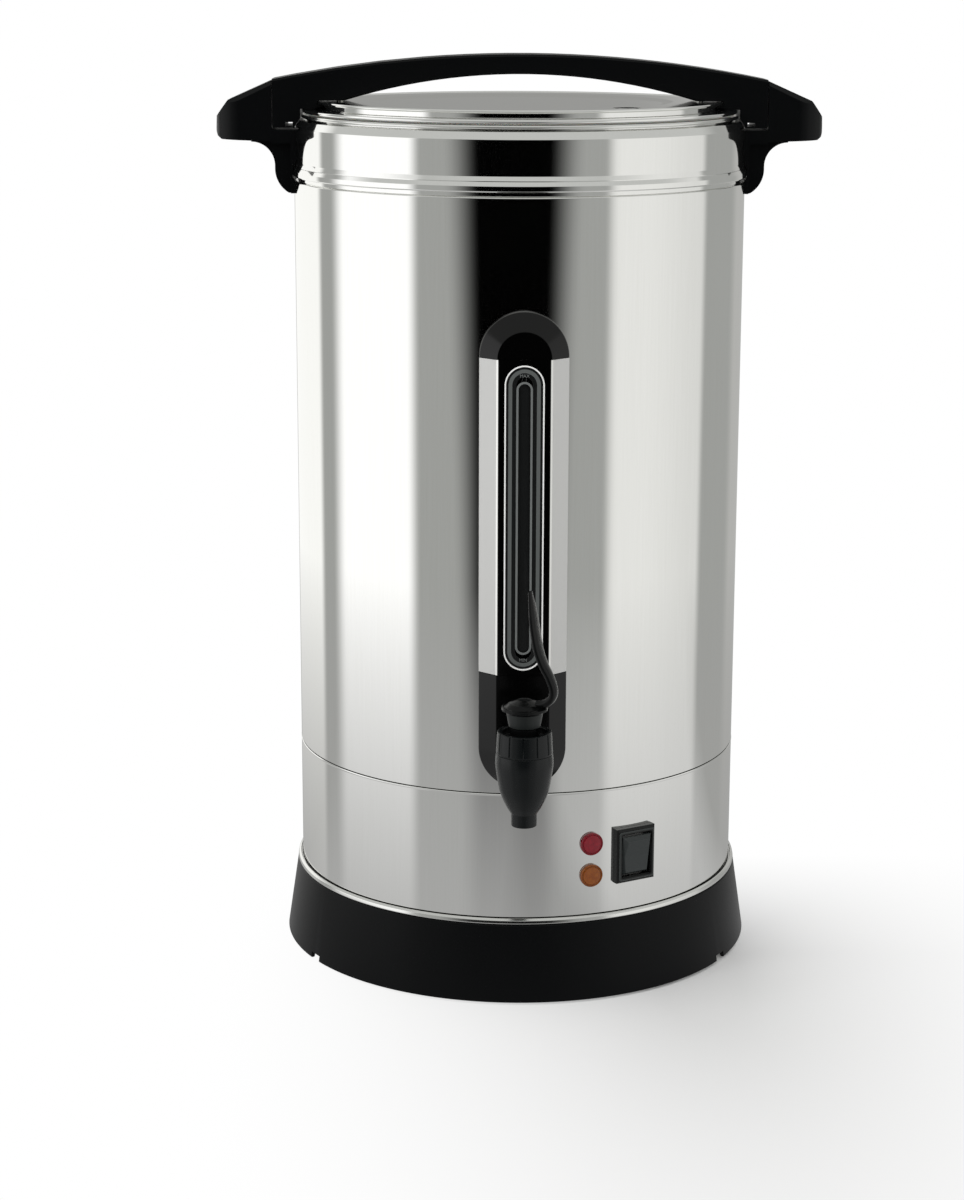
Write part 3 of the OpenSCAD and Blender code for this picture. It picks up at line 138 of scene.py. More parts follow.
walls = TENT_GREY
for *edges, colour in SOFT_BOXES:
    walls = blend(tree, sector(*edges), walls, colour)
middle, half, fade = FLAG
narrowed = ramp(tree, direction["Z"], FLAG_FOOT, FLAG_WAIST, 1 / FLAG_NARROW, 1 / FLAG_WIDE)
flag = sector(middle - half, fade, middle + half, fade, narrowed)
flag = maths(tree, "MULTIPLY", flag, ramp(tree, direction["Z"], *FLAG_TOP, kind="SMOOTHSTEP"))
walls = blend(tree, flag, walls, "#000000")
tent = blend(tree, ramp(tree, direction["Z"], *CEILING, kind="SMOOTHSTEP"), walls, CEILING_GREY)
mirrored = maths(tree, "MAXIMUM", ray["Is Glossy Ray"], ray["Is Transmission Ray"])
fill = add(tree, "Background", {"Color": linear("#ffffff"), "Strength": FILL})
seen_in_metal = add(tree, "Background", {"Color": tent, "Strength": IN_METAL})
backdrop = add(tree, "Background", {"Color": linear("#ffffff"), "Strength": TO_CAMERA})
lit = add(tree, "MixShader", {0: mirrored, 1: fill.outputs[0], 2: seen_in_metal.outputs[0]})
shown = add(tree, "MixShader", {0: ray["Is Camera Ray"], 1: lit.outputs[0], 2: backdrop.outputs[0]})
tree.links.new(shown.outputs[0], add(tree, "OutputWorld").inputs["Surface"])


def soft_lamp(name, place, aim, width, height, power):
    """An area lamp, sizes in metres and power in watts, that stays out of the mirrors."""
    lamp = bpy.data.objects.new(name, bpy.data.lights.new(name, "AREA"))
    lamp.data.shape = "RECTANGLE"
    lamp.data.size, lamp.data.size_y = width, height
    lamp.data.energy = power
    lamp.location = place
    lamp.rotation_euler = (Vector(aim) - Vector(place)).to_track_quat("-Z", "Y").to_euler()
    lamp.visible_glossy = False
    scene.collection.objects.link(lamp)


soft_lamp("key_lamp", (-1.5, -1.4, 1.9), (0, 0, 0.2), 1.1, 1.1, 17)
soft_lamp("front_lamp", (0.9, -1.9, 1.1), (0, 0, 0.25), 1.2, 1.2, 7)

# White table: bright paint that keeps the urn's shadow and fades into the backdrop
table = bpy.data.objects.new("white_table", bpy.data.meshes.new("white_table"))
scene.collection.objects.link(table)
net = bmesh.new()
bmesh.ops.create_circle(net, cap_ends=True, cap_tris=False, radius=3.2, segments=96)
net.to_mesh(table.data)
net.free()
table.location = (0, 0, -0.0002)
paint = bpy.data.materials.new("white_table_paint")
paint.use_nodes = True
tree = paint.node_tree
tree.nodes.clear()
ray = add(tree, "LightPath").outputs
place = add(tree, "TexCoord").outputs["Object"]
spot = add(tree, "SeparateXYZ", {0: place}).outputs
# It ends in nothing, nearer to the urn in the steel than for the camera (in metres)
reach = add(tree, "VectorMath", {0: place}, operation="LENGTH").outputs["Value"]
near_edge = maths(tree, "MULTIPLY", ray["Is Glossy Ray"], ramp(tree, reach, 0.1, 1.2))
gone = maths(tree, "MAXIMUM", ramp(tree, reach, 0.9, 2.6, kind="SMOOTHSTEP"), near_edge)
# In the steel it mirrors as a soft grey, brighter in front on the right than behind the urn
middle = ramp(tree, spot["X"], -0.04, 0.02, 0.405, 0.34)
right = ramp(tree, spot["X"], 0.09, 0.19, 0.0, 0.155)
far = ramp(tree, spot["X"], 0.20, 0.50, 0.0, 0.07)
front = ramp(tree, spot["Y"], 0.12, 0.0)
glow = blend(tree, front, "#a0a09f", maths(tree, "ADD", maths(tree, "ADD", middle, right), far))
# To the camera it fades to white around one soft shadow, in front on the right
SHADOW_MIDDLE, SHADOW_REACH, DRAWN_OUT = (0.11, -0.10), 0.30, 0.35
flat = add(tree, "VectorMath", {0: place, 1: (1.0, DRAWN_OUT, 0.0)}, operation="MULTIPLY").outputs[0]
apart = add(tree, "VectorMath", {0: flat, 1: (SHADOW_MIDDLE[0], SHADOW_MIDDLE[1] * DRAWN_OUT, 0.0)},
            operation="DISTANCE").outputs["Value"]
near = maths(tree, "POWER", ramp(tree, apart, SHADOW_REACH, 0.0), 1.8)
shade = maths(tree, "MULTIPLY", near, ramp(tree, spot["Y"], 0.13, -0.06))
bleached = maths(tree, "MULTIPLY", ramp(tree, shade, 0.0, 0.85, 1.0, 0.05), ray["Is Camera Ray"])
paper = add(tree, "MixShader", {
    0: bleached,
    1: add(tree, "BsdfDiffuse", {"Color": linear("#f4f4f3")}).outputs[0],
    2: add(tree, "Emission", {"Color": linear("#ffffff"), "Strength": 1.0}).outputs[0]})
paper = add(tree, "MixShader", {
    0: ray["Is Glossy Ray"],
    1: paper.outputs[0],
    2: add(tree, "Emission", {"Color": glow, "Strength": 1.0}).outputs[0]})
mixed = add(tree, "MixShader", {0: gone, 1: paper.outputs[0], 2: add(tree, "BsdfTransparent").outputs[0]})
tree.links.new(mixed.outputs[0], add(tree, "OutputMaterial").inputs["Surface"])
table.data.materials.append(paint)


# ---- Base skirt ----
# The wide foot of the urn is one moulding of black phenolic: a hard, slightly grainy
# plastic with a satin skin. It is clipped to the lower shell, with four drain notches.

METAL = {"Metallic": 1.0}
FOOT_PITCH = 118                          # from the axis to each foot and its post
POSTS = (45, 135, 225, 315)               # their directions, degrees right of the front
NOTCHES = (59.6, 120.4, 239.6, 300.4)     # and those of the drain notches


def solid(name, colour=None, values=None):
    """A new opaque material, with its tree and its main shader, whose inputs it sets."""
    made = bpy.data.materials.new(name)
    made.use_nodes = True
    shader = made.node_tree.nodes["Principled BSDF"]
    for key, value in (values or {}).items():
        shader.inputs[key].default_value = value
    if colour:
        shader.inputs["Base Color"].default_value = linear(colour)
    return made, made.node_tree, shader


def grain(tree, shader, size, depth, low, high, stretch=(1, 1, 1)):
    """Fine relief and uneven gloss from one noise whose cells are size metres across."""
    place = add(tree, "Mapping", {"Vector": add(tree, "TexCoord").outputs["Object"], "Scale": stretch})
    cells = add(tree, "TexNoise", {"Vector": place.outputs[0], "Scale": 1 / size, "Detail": 3.0})
    relief = add(tree, "Bump", {"Height": cells.outputs["Fac"], "Strength": 0.35, "Distance": depth})
    tree.links.new(relief.outputs[0], shader.inputs["Normal"])
    tree.links.new(ramp(tree, cells.outputs["Fac"], 0.3, 0.7, low, high), shader.inputs["Roughness"])


def two_tone(tree, shader, amount, *pair):
    """Gives a shader a base colour that runs between two."""
    tree.links.new(blend(tree, amount, *pair), shader.inputs["Base Color"])


def worn_and_highlit_edges(tree, shader, base, worn_and_lit, amount):
    """Convex edges of a moulding, painted paler from where they bend to their crest: partly wear, partly a painted
    highlight.
    """
    bend, crest = 0.53, 0.62
    bent = add(tree, "NewGeometry").outputs["Pointiness"]
    two_tone(tree, shader, ramp(tree, bent, bend, crest, 0.0, amount), base, worn_and_lit)


def phenolic_skin(name, worn_and_lit_edges):
    """Black phenolic, compression moulded: deep black, with a fine 0.5 mm orange-peel skin."""
    made, tree, shader = solid(name, "#08090a", {"IOR": 1.52, "Specular IOR Level": 0.12})
    grain(tree, shader, 0.5 * mm, 0.012 * mm, 0.27, 0.36)
    # Its edges, where asked, are painted paler: partly wear, partly a painted highlight
    if worn_and_lit_edges:
        worn_and_highlit_edges(tree, shader, "#08090a", "#262728", 0.6)
    return made


phenolic = phenolic_skin("black_phenolic_moulded", True)


def placed(name, mesh, body, slot, *nodes):
    """Puts a mesh in the scene as a piece that rides a body, in place of CAD nodes."""
    made = bpy.data.objects.new(name, mesh)
    scene.collection.objects.link(made)
    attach(made, body)
    if nodes:
        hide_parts(*nodes)
    return made


def even_normals(made):
    """Keeps broad faces flat, so that only the edges between them turn the light."""
    even = made.modifiers.new("even_normals", "WEIGHTED_NORMAL")
    even.keep_sharp = True


def piece(name, mesh_maker, material, body, slot, *nodes, smooth=30):
    """A piece drawn here, creased where two faces meet at more than smooth degrees."""
    mesh = bpy.data.meshes.new(name)
    net = bmesh.new()
    mesh_maker(net)
    bmesh.ops.remove_doubles(net, verts=net.verts, dist=1e-6)
    bmesh.ops.recalc_face_normals(net, faces=net.faces)
    for edge in net.edges:
        if len(edge.link_faces) == 2 and edge.calc_face_angle(0) > math.radians(smooth):
            edge.smooth = False
    for face in net.faces:
        face.smooth = True
    net.to_mesh(mesh)
    net.free()
    mesh.materials.append(material)
    made = placed(name, mesh, body, slot, *nodes)
    even_normals(made)
    return made


def refaced(made, material, chosen):
    """Gives another material to the faces whose centre, in mm, is chosen."""
    made.data.materials.append(material)
    for face in made.data.polygons:
        if chosen(face.center / mm):
            face.material_index = 1


def rounded(profile, radius, steps=4):
    """A closed profile in mm with each corner rounded; a corner [r, z, own] has its own radius."""
    done = []
    count = len(profile)
    for i, point in enumerate(profile):
        here = Vector(point[:2])
        before = Vector(profile[i - 1][:2]) - here
        after = Vector(profile[(i + 1) % count][:2]) - here
        own = point[2] if len(point) > 2 else radius
        angle = before.angle(after, math.pi)
        if own <= 0 or angle > math.radians(172):      # nearly straight already
            done.append(here)
            continue
        cut = min(own / math.tan(angle / 2), 0.45 * before.length, 0.45 * after.length)
        start = here + before.normalized() * cut
        stop = here + after.normalized() * cut
        for k in range(steps + 1):
            t = k / steps
            done.append(start * (1 - t) ** 2 + here * 2 * t * (1 - t) + stop * t ** 2)
    return done


def spun(profile, steps=192, turn=None):
    """A mesh maker that turns a closed profile (mm, radius and height) about the Z axis."""
    def make(net):
        rings = []
        for s in range(steps):
            angle = 2 * math.pi * s / steps
            rings.append([net.verts.new((r * mm * math.sin(angle), -r * mm * math.cos(angle), z * mm))
                          for r, z in profile])
        for s in range(steps):
            a, b = rings[s], rings[(s + 1) % steps]
            for i in range(len(profile)):
                j = (i + 1) % len(profile)
                corners = []
                for v in (a[i], a[j], b[j], b[i]):
                    if all((v.co - w.co).length > 1e-7 for w in corners):
                        corners.append(v)
                if len(corners) > 2:
                    net.faces.new(corners)
        if turn is not None:
            bmesh.ops.transform(net, matrix=turn, verts=net.verts)
    return make


def cut_away(made, *cutters):
    """Cuts boxes or bars out of a piece and keeps the result as its mesh."""
    others = list(made.modifiers)
    for other in others:
        other.show_viewport = False
    for cutter in cutters:
        tool = bpy.data.objects.new("cutter", bpy.data.meshes.new("cutter"))
        scene.collection.objects.link(tool)
        net = bmesh.new()
        cutter(net)
        bmesh.ops.recalc_face_normals(net, faces=net.faces)
        net.to_mesh(tool.data)
        net.free()
        trim = made.modifiers.new("cut", "BOOLEAN")
        trim.object = tool
        trim.solver = "EXACT"
        bpy.context.view_layer.update()
        uncut = made.data
        result = made.evaluated_get(bpy.context.evaluated_depsgraph_get())
        made.data = bpy.data.meshes.new_from_object(result)
        made.modifiers.remove(trim)
        bpy.data.meshes.remove(uncut)
        bpy.data.objects.remove(tool)
    for other in others:
        other.show_viewport = True


def block(low, high, turn=None):
    """A mesh maker for a plain cutter between two corners in mm."""
    def make(net):
        bmesh.ops.create_cube(net, size=1)
        size = Matrix.Diagonal([*(mm * (h - l) for l, h in zip(low, high)), 1])
        middle = Matrix.Translation([mm * (l + h) / 2 for l, h in zip(low, high)])
        bmesh.ops.transform(net, matrix=(turn or Matrix()) @ middle @ size, verts=net.verts)
    return make


def bar(radius, low, high, turn=None, steps=64):
    """A mesh maker for a plain round cutter between two heights in mm."""
    def make(net):
        bmesh.ops.create_cone(net, cap_ends=True, segments=steps, radius1=radius * mm,
                              radius2=radius * mm, depth=(high - low) * mm,
                              matrix=(turn or Matrix()) @ Matrix.Translation((0, 0, mm * (low + high) / 2)))
    return make


def round_body(degrees):
    """Turns something that is straight ahead to a direction right of the front."""
    return Matrix.Rotation(math.radians(degrees), 4, "Z")


skirt = piece("skirt_moulding", spun(rounded([
    (142.3, 1), (144.8, 1), (137.9, 47), (134.1, 47), (134.1, 56), (131.6, 56),
    (131.6, 47), (109, 47), (109, 44.5), (135.4, 44.5)], 0.9), 256),
    phenolic, "urn", "black_plastic", "base_skirt")
cut_away(skirt, *[block((-5, -147, -1), (5, -139, 4.8), round_body(a)) for a in NOTCHES])


def posts(net):
    """The four round posts inside the skirt that the feet are screwed to."""
    for a in POSTS:
        bar(6, 10.3, 44.7, round_body(a) @ Matrix.Translation((0, -FOOT_PITCH * mm, 0)), 40)(net)


piece("skirt_posts", posts, phenolic, "urn", "black_plastic")


# ---- Feet, base plate and its screws ----
# Four turned feet of black nitrile rubber hold a pressed, zinc-plated base plate to the
# skirt; one self-tapping screw goes through each foot into a post of the skirt.

# Nitrile rubber, moulded: dull, with a soft dusty bloom
nitrile, tree, shader = solid("black_nitrile_rubber", "#1d1d1d",
                              {"Specular IOR Level": 0.25, "Sheen Weight": 0.15})
grain(tree, shader, 0.8 * mm, 0.03 * mm, 0.68, 0.82)

# Zinc plate on pressed steel: pale, with faint blue and yellow patches 15 mm across
zinc, tree, shader = solid("zinc_plated_steel", None, {**METAL, "Roughness": 0.38})
patch = add(tree, "TexNoise", {"Vector": add(tree, "TexCoord").outputs["Object"], "Scale": 65.0, "Detail": 2.0})
two_tone(tree, shader, patch.outputs["Fac"], "#b9bdc2", "#cbc8b8")

# Brass, machined: warm, slightly dulled
brass, tree, shader = solid("machined_brass", "#c9a24e", METAL)
grain(tree, shader, 0.4 * mm, 0.01 * mm, 0.24, 0.36)


def finish(node, material):
    """Shows a CAD solid as it is, in the finish of the real piece."""
    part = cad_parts[node]
    part.data.materials.clear()
    part.data.materials.append(material)


finish("rubber_feet", nitrile)
finish("base_plate", zinc)
finish("base_screws", zinc)
finish("earth_stud", brass)
finish("cord_gland", nitrile)


# ---- Body shells, trim ring and collar ----
# The lower and upper shells are deep-drawn stainless steel, 0.8 mm thick, welded at the
# back and mirror polished. They meet at a joggled seam; a rolled trim ring hides the foot.

# Stainless steel, mirror polished along the body: buffing leaves faint upright streaks
polished, tree, shader = solid("mirror_polished_stainless", None, METAL)
place = add(tree, "Mapping", {"Vector": add(tree, "TexCoord").outputs["Object"], "Scale": (1, 1, 0.02)})
streak = add(tree, "TexNoise", {"Vector": place.outputs[0], "Scale": 900.0, "Detail": 2.0}).outputs["Fac"]
two_tone(tree, shader, streak, "#f6f6f3", "#fbfbf9")
tree.links.new(ramp(tree, streak, 0.0, 1.0, 0.045, 0.07), shader.inputs["Roughness"])

# The same steel, rolled bright and not buffed: trim, bezels and rims
rolled, tree, shader = solid("bright_rolled_stainless", "#f1f1ee", METAL)
grain(tree, shader, 0.6 * mm, 0.004 * mm, 0.10, 0.16)

lower = piece("lower_shell_steel", spun(rounded([
    (134.2, 47.05), (135, 47.05), (135, 125.5, 1.2), (135.2, 126.2, 0.4), (134.9, 126.75, 0.3),
    (134.15, 126.75, 0.1), (134.15, 136), (133.35, 136), (133.35, 126.3), (134.2, 125.2)], 0.1, 3), 320),
    polished, "urn", "polished_steel", "lower_shell")
# The joggle that the upper shell slips over is painted dark, as painted shade for the gap
painted_gap_shade, tree, shader = solid("steel_painted_dark_as_shade", "#1c1b1a", METAL)
grain(tree, shader, 0.8 * mm, 0.01 * mm, 0.50, 0.65)
refaced(lower, painted_gap_shade, lambda c: c.z > 126.74)
piece("upper_shell_steel", spun(rounded([
    (134.2, 127.3), (134.85, 127.3, 0.1), (135, 127.5, 0.1), (135, 471.5, 2.4), (132.6, 471.5, 0.3),
    (132.6, 480), (131.8, 480), (131.8, 470.7, 0.5), (134.2, 470.7, 1.8)], 0.1, 8), 320),
    polished, "urn", "polished_steel", "upper_shell")
trim = piece("trim_ring_steel", spun(rounded([
    (135.05, 47.05), (137.3, 47.0, 0.5), (137.95, 47.9, 0.6), (137.6, 49.7, 0.8), (136.6, 50.6, 0.5),
    (136.1, 50.7, 0.2), (135.9, 50.1, 0.1), (135.25, 50.1, 0), (135.25, 51.0, 0.1), (135.05, 51.1)], 0.1, 5), 320),
    rolled, "urn", "trim_steel", "trim_ring")
# The gap above the trim ring is painted dark, as painted shade
refaced(trim, painted_gap_shade, lambda c: c.z > 50.1 and c.xy.length < 135.6)
piece("collar_steel", spun(rounded([
    (132.65, 474, 0.1), (135.4, 474, 0.6), (136, 474.7, 0.5), (136, 477.4, 0.3), (135.05, 479.7, 0.1),
    (134.75, 479.75, 0.1), (134.8, 480.2, 0.1), (134, 482.7, 0.5), (134, 502.8, 0.5), (133.5, 503.6, 0.4),
    (131.5, 506.9, 0.6), (128.2, 507.4, 0.3), (127.4, 507.4), (127.4, 508.25), (126.6, 508.25), (126.6, 506.6),
    (130.9, 506.0), (133.2, 502.6), (133.2, 481.2), (132.65, 480.45)], 0.1, 6), 320),
    polished, "urn", "polished_steel", "collar")


# ---- Inner tank ----
# The tank is drawn from one sheet of stainless steel with a rounded floor, a well for the
# pump and a rolled rim. Inside it keeps a fine satin grain that runs round the wall.

# Stainless steel, satin: 0.2 mm grain drawn out round the tank
satin, tree, shader = solid("satin_drawn_stainless", "#d6d6d2", METAL)
grain(tree, shader, 0.9 * mm, 0.01 * mm, 0.26, 0.38, (0.05, 0.05, 1))

tank = piece("tank_steel", spun(rounded([
    (0, 127, 0), (26, 127, 1.2), (28, 130, 1.2), (126, 130, 10), (126, 508.3, 0.3), (128.3, 508.3, 0.2),
    (128.7, 508.1, 0.3), (130.3, 508.2, 0.7), (130.8, 509.3, 0.7), (130.2, 510.4, 0.7), (128.6, 510.2, 0.5),
    (128.3, 509.1, 0.2), (126.0, 509.1, 0.4), (125.2, 508.5, 0.3), (125.2, 130.8, 9.2), (27.6, 130.8, 1.0),
    (25.6, 127.8, 1.0), (0, 127.8, 0)], 0.2, 6), 256),
    satin, "urn", "tank_steel", "inner_tank")
refaced(tank, rolled, lambda c: c.z > 507)


# ---- Lid ----
# The lid is two pressings: a flanged ring with a plug that fits the tank, and a bright cap
# with a rolled bead, a sunk panel and a steam hole. A silicone seal sits under the flange.

# Silicone, food grade: milky white, soft and slightly see-through
silicone, tree, shader = solid("milky_silicone", "#d3d1ca",
                               {"Subsurface Weight": 0.2, "Subsurface Scale": 2 * mm})
grain(tree, shader, 1.2 * mm, 0.01 * mm, 0.42, 0.55)

piece("lid_ring_steel", spun(rounded([
    (117.2, 512.5, 0), (128.4, 512.5, 0.2), (128.8, 511.4, 0.4), (129.6, 511.3, 0.4), (130.1, 512.2, 0.6),
    (129.8, 513.1, 0.6), (129.0, 513.3, 0.4), (118, 513.3, 0.5), (118, 516.7, 0.2), (113, 516.7, 0.2),
    (113, 515.9, 0.2), (117.2, 515.9, 0.4)], 0.1, 5), 320),
    polished, "lid", "polished_steel", "lid_ring")
piece("lid_plug_steel", spun(rounded([
    (123.6, 503.5), (124.4, 503.5), (124.4, 512.6), (123.6, 512.6)], 0.3), 192),
    satin, "lid", "polished_steel")
lid_cap = piece("lid_cap_steel", spun(rounded([
    (0, 515.8, 0), (85.5, 515.8, 8), (91.5, 516.8, 8), (119.6, 516.8, 0.3), (120.0, 516.2, 0.3),
    (121.0, 516.4, 0.5), (121.3, 517.3, 0.6), (120.7, 518.15, 0.6), (119.8, 518.0, 0.5), (119.2, 517.6, 0.4),
    (91.3, 517.6, 8), (85.3, 516.6, 8), (0, 516.6, 0)], 0.2, 5), 320),
    polished, "lid", "polished_steel", "lid_cap")
# The steam hole, with a low rim turned up round it; its inside is painted dark, as painted shade
VENT_AZ, VENT_REACH, VENT_RADIUS = 36, 100.4, 8.2
vent = round_body(VENT_AZ) @ Matrix.Translation((0, -VENT_REACH * mm, 0))
cut_away(lid_cap, bar(VENT_RADIUS, 510, 522, vent, 96))
vent_rim = piece("vent_rim_steel", spun(rounded([
    (8.15, 510.5), (8.6, 510.5), (8.7, 516.3), (10.4, 516.5, 0.2), (10.2, 517.2, 0.3), (9.0, 517.5, 0.4),
    (8.15, 517.0, 0.3)], 0.2), 96, vent),
    rolled, "lid", "polished_steel")
refaced(vent_rim, painted_gap_shade, lambda c: c.z < 516.4)
finish("lid_seal", silicone)
finish("lid_handle_screws", zinc)


# ---- Handles ----
# The arch is the lid's handle; a side handle with a two-finger wing is screwed to each
# side of the collar. All three are black phenolic mouldings with softened edges.

ROUNDED_OVER = 14       # degrees: an edge that turns more than this is rounded


def softened(node, material, slot, width, body, worn_and_lit_edges=None):
    """A copy of a CAD solid with its edges rounded, in a second material where one is given."""
    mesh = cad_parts[node].data.copy()
    mesh.materials.clear()
    mesh.materials.append(material)
    if worn_and_lit_edges:
        mesh.materials.append(worn_and_lit_edges)
    net = bmesh.new()
    net.from_mesh(mesh)
    bmesh.ops.remove_doubles(net, verts=net.verts, dist=1e-6)
    bmesh.ops.dissolve_limit(net, angle_limit=math.radians(1.0), verts=net.verts, edges=net.edges)
    for face in net.faces:
        gentle = any(0.5 < math.degrees(edge.calc_face_angle(0)) < ROUNDED_OVER for edge in face.edges)
        face.smooth = gentle and len(face.verts) < 7     # a flat face stays flat up to its edge
    for edge in net.edges:
        edge.smooth = True
    net.to_mesh(mesh)
    net.free()
    made = placed(node + "_moulding", mesh, body, slot, node)
    rim = made.modifiers.new("soft_edges", "BEVEL")
    rim.width = width * mm
    rim.segments = 3
    rim.limit_method = "ANGLE"
    rim.angle_limit = math.radians(ROUNDED_OVER)
    rim.miter_outer = "MITER_ARC"
    rim.material = 1 if worn_and_lit_edges else -1
    even_normals(made)
    return made


# The edges of the black phenolic are painted paler, partly wear and partly a painted highlight; this copy leaves
# that out for the faces between them
even_phenolic = phenolic_skin("black_phenolic_even", False)     # away from their rubbed edges
softened("lid_handle", even_phenolic, "black_plastic", 0.5, "lid", phenolic)
softened("side_handle_left", even_phenolic, "black_plastic", 0.6, "urn", phenolic)
softened("side_handle_right", even_phenolic, "black_plastic", 0.6, "urn", phenolic)
finish("side_handle_screws", zinc)


# ---- Gauge ----
# A black moulding at each end and two bright aluminium rails hold a black strip with a
# window. Behind it a glass tube, joined to the tap's shank, shows the level of coffee.

FRONT = -150.0     # the gauge's front face
EDGE = -140.0      # where its chamfer starts
HALF = 25.2        # half its width
# Heights: its foot, the rails' lower and upper ends, and its top
LOW, SPLIT, JOIN, TOP = 131.7, 202.2, 383.2, 408.8
END_GAP, RAIL_GAP = 0.15, 0.05     # what the mouldings and the rails keep clear of those heights
BACK = -133.0      # where its sides end inside the shell
WINDOW_LOW, WINDOW_HIGH = SPLIT + 3, JOIN - 3


def stadium_points(half, low, high, depth, steps=24):
    """Outline of an upright bar with round ends, at one depth, anticlockwise from the front."""
    points = []
    for centre, first in ((high - half, 0), (low + half, 180)):
        for k in range(steps + 1):
            a = math.radians(first + 180 * k / steps)
            points.append((half * math.cos(a), depth, centre + half * math.sin(a)))
    return points


def lofted(loops, close=True):
    """A mesh maker that skins a row of equal outlines and closes both ends."""
    def make(net):
        rows = [[net.verts.new([c * mm for c in p]) for p in loop] for loop in loops]
        for a, b in zip(rows, rows[1:]):
            for i in range(len(a)):
                j = (i + 1) % len(a)
                net.faces.new((a[i], a[j], b[j], b[i]))
        if close:
            net.faces.new(rows[0][::-1])
            net.faces.new(rows[-1])
        else:
            for i in range(len(rows[0])):
                j = (i + 1) % len(rows[0])
                net.faces.new((rows[-1][i], rows[-1][j], rows[0][j], rows[0][i]))
    return make


def gauge_end(low, high):
    """The gauge's full form with soft chamfer edges, kept between two heights."""
    depths = [(HALF, BACK), (HALF, EDGE + 0.7), (HALF - 0.2, EDGE - 0.1), (HALF - 0.7, EDGE - 0.7),
              (HALF - 9.4, FRONT + 0.6), (HALF - 9.9, FRONT + 0.15), (HALF - 10.4, FRONT)]
    whole = lofted([stadium_points(h, LOW + HALF - h, TOP - HALF + h, d, 40) for h, d in depths])

    def make(net):
        whole(net)
        for height, side in ((low, -1), (high, 1)):
            cut = bmesh.ops.bisect_plane(net, geom=net.verts[:] + net.edges[:] + net.faces[:],
                                         plane_co=(0, 0, height * mm), plane_no=(0, 0, side),
                                         clear_outer=True)
            rim = [g for g in cut["geom_cut"] if isinstance(g, bmesh.types.BMEdge)]
            bmesh.ops.contextual_create(net, geom=rim)
    return make


# Glossy injection-moulded ABS, jet black, with a faint waviness 1.5 mm across
abs_black, tree, shader = solid("glossy_black_abs", "#030303", {"IOR": 1.53, "Specular IOR Level": 0.29})
grain(tree, shader, 1.5 * mm, 0.003 * mm, 0.11, 0.15)

piece("gauge_base_moulding", gauge_end(100, SPLIT - END_GAP), abs_black, "urn", "black_plastic", "gauge_base",
      smooth=20)
piece("gauge_cap_moulding", gauge_end(JOIN + END_GAP, 450), abs_black, "urn", "black_plastic", "gauge_cap",
      smooth=20)

# Aluminium, extruded and satin anodised: fine lengthwise lines 0.3 mm apart
anodised, tree, shader = solid("satin_anodised_aluminium", "#ccccca", {"Metallic": 0.3})
grain(tree, shader, 0.3 * mm, 0.006 * mm, 0.30, 0.42, (1, 1, 0.01))
rail_section = rounded([
    (25.2, -132.8), (25.2, -140.0, 0.7), (15.8, -148.79, 0), (14.5, -150.0, 0.35), (14.5, -148.3, 0.2),
    (24.0, -139.5, 0.5), (24.0, -133.0)], 0.1, 4)
for side, name in ((1, "gauge_rail_right"), (-1, "gauge_rail_left")):
    rail = piece(name, lofted([[(side * x, y, z) for x, y in rail_section]
                               for z in (SPLIT + RAIL_GAP, JOIN - RAIL_GAP)]),
                 anodised, "urn", "satin_rail", "gauge_rails", smooth=40)
    # The inner edge of each rail is cut bright
    refaced(rail, rolled, lambda c: abs(c.x) < 15.85 and c.y < -148.7)
strip = softened("gauge_strip", abs_black, "black_plastic", 0.4, "urn")
strip.data.transform(Matrix.Diagonal((0.957, 1, 1, 1)))     # narrowed to lie between those edges


def stadium_band(name, outer, inner, inset, back, front, material, slot, *nodes, soft=0.25):
    """A flat ring set in from the window's edge, with softened front edges."""
    third = 0.3 * soft
    section = [(outer, back), (outer, front + soft), (outer - third, front + third), (outer - soft, front),
               (inner + soft, front), (inner + third, front + third), (inner, front + soft), (inner, back)]
    low, high = WINDOW_LOW + inset + outer, WINDOW_HIGH - inset - outer
    loops = [stadium_points(half, low - half, high + half, depth) for half, depth in section]
    piece(name, lofted(loops, close=False), material, "urn", slot, *nodes, smooth=50)


# Hot-stamped silver foil: pale and nearly matte
foil, tree, shader = solid("silver_stamping_foil", "#f2f2f0", {"Specular IOR Level": 0.6})
grain(tree, shader, 0.5 * mm, 0.004 * mm, 0.30, 0.40)
# The same in grey, for the line round the slot and the marks
foil_grey, tree, shader = solid("grey_stamping_foil", "#6c6f6e")
grain(tree, shader, 0.5 * mm, 0.004 * mm, 0.32, 0.42)
stadium_band("window_bezel", 11.2, 10.35, 0, -148.5, -150.4, foil, "trim_steel", "gauge_bezel")
stadium_band("sight_slot_line", 4.6, 3.4, 9.2, -149.7, -150.0, foil_grey, "trim_steel", "slot_trim", soft=0.12)

# Acrylic window, back-printed: black with one grey band that follows the edge
window_black, tree, shader = solid("back_printed_acrylic_black", "#191a1a", {
    "Roughness": 0.08, "Coat Weight": 0.4, "Specular IOR Level": 0.25})
window_grey, tree, shader = solid("back_printed_acrylic_grey", "#5b5e5d", {
    "Roughness": 0.12, "Specular IOR Level": 0.3})
stadium_band("window_pane", 10.3, 4.6, 0.9, -148.5, -149.7, window_black, "window_plastic", "gauge_window",
             soft=0.1)
stadium_band("window_grey_band", 9.0, 6.9, 2.2, -149.6, -149.75, window_grey, "window_plastic", soft=0.02)

# Borosilicate sight tube in its dark slot
sight, tree, shader = solid("borosilicate_glass", "#eef4f4", {
    "Transmission Weight": 1.0, "IOR": 1.47, "Roughness": 0.02})
finish("sight_tube", sight)
finish("tube_seals", silicone)
finish("gauge_screws", zinc)
piece("sight_slot_back", lofted([stadium_points(4.5, WINDOW_LOW + 9.3, WINDOW_HIGH - 9.3, depth)
                                 for depth in (-148.2, -148.0)]), window_black, "urn", "window_plastic")


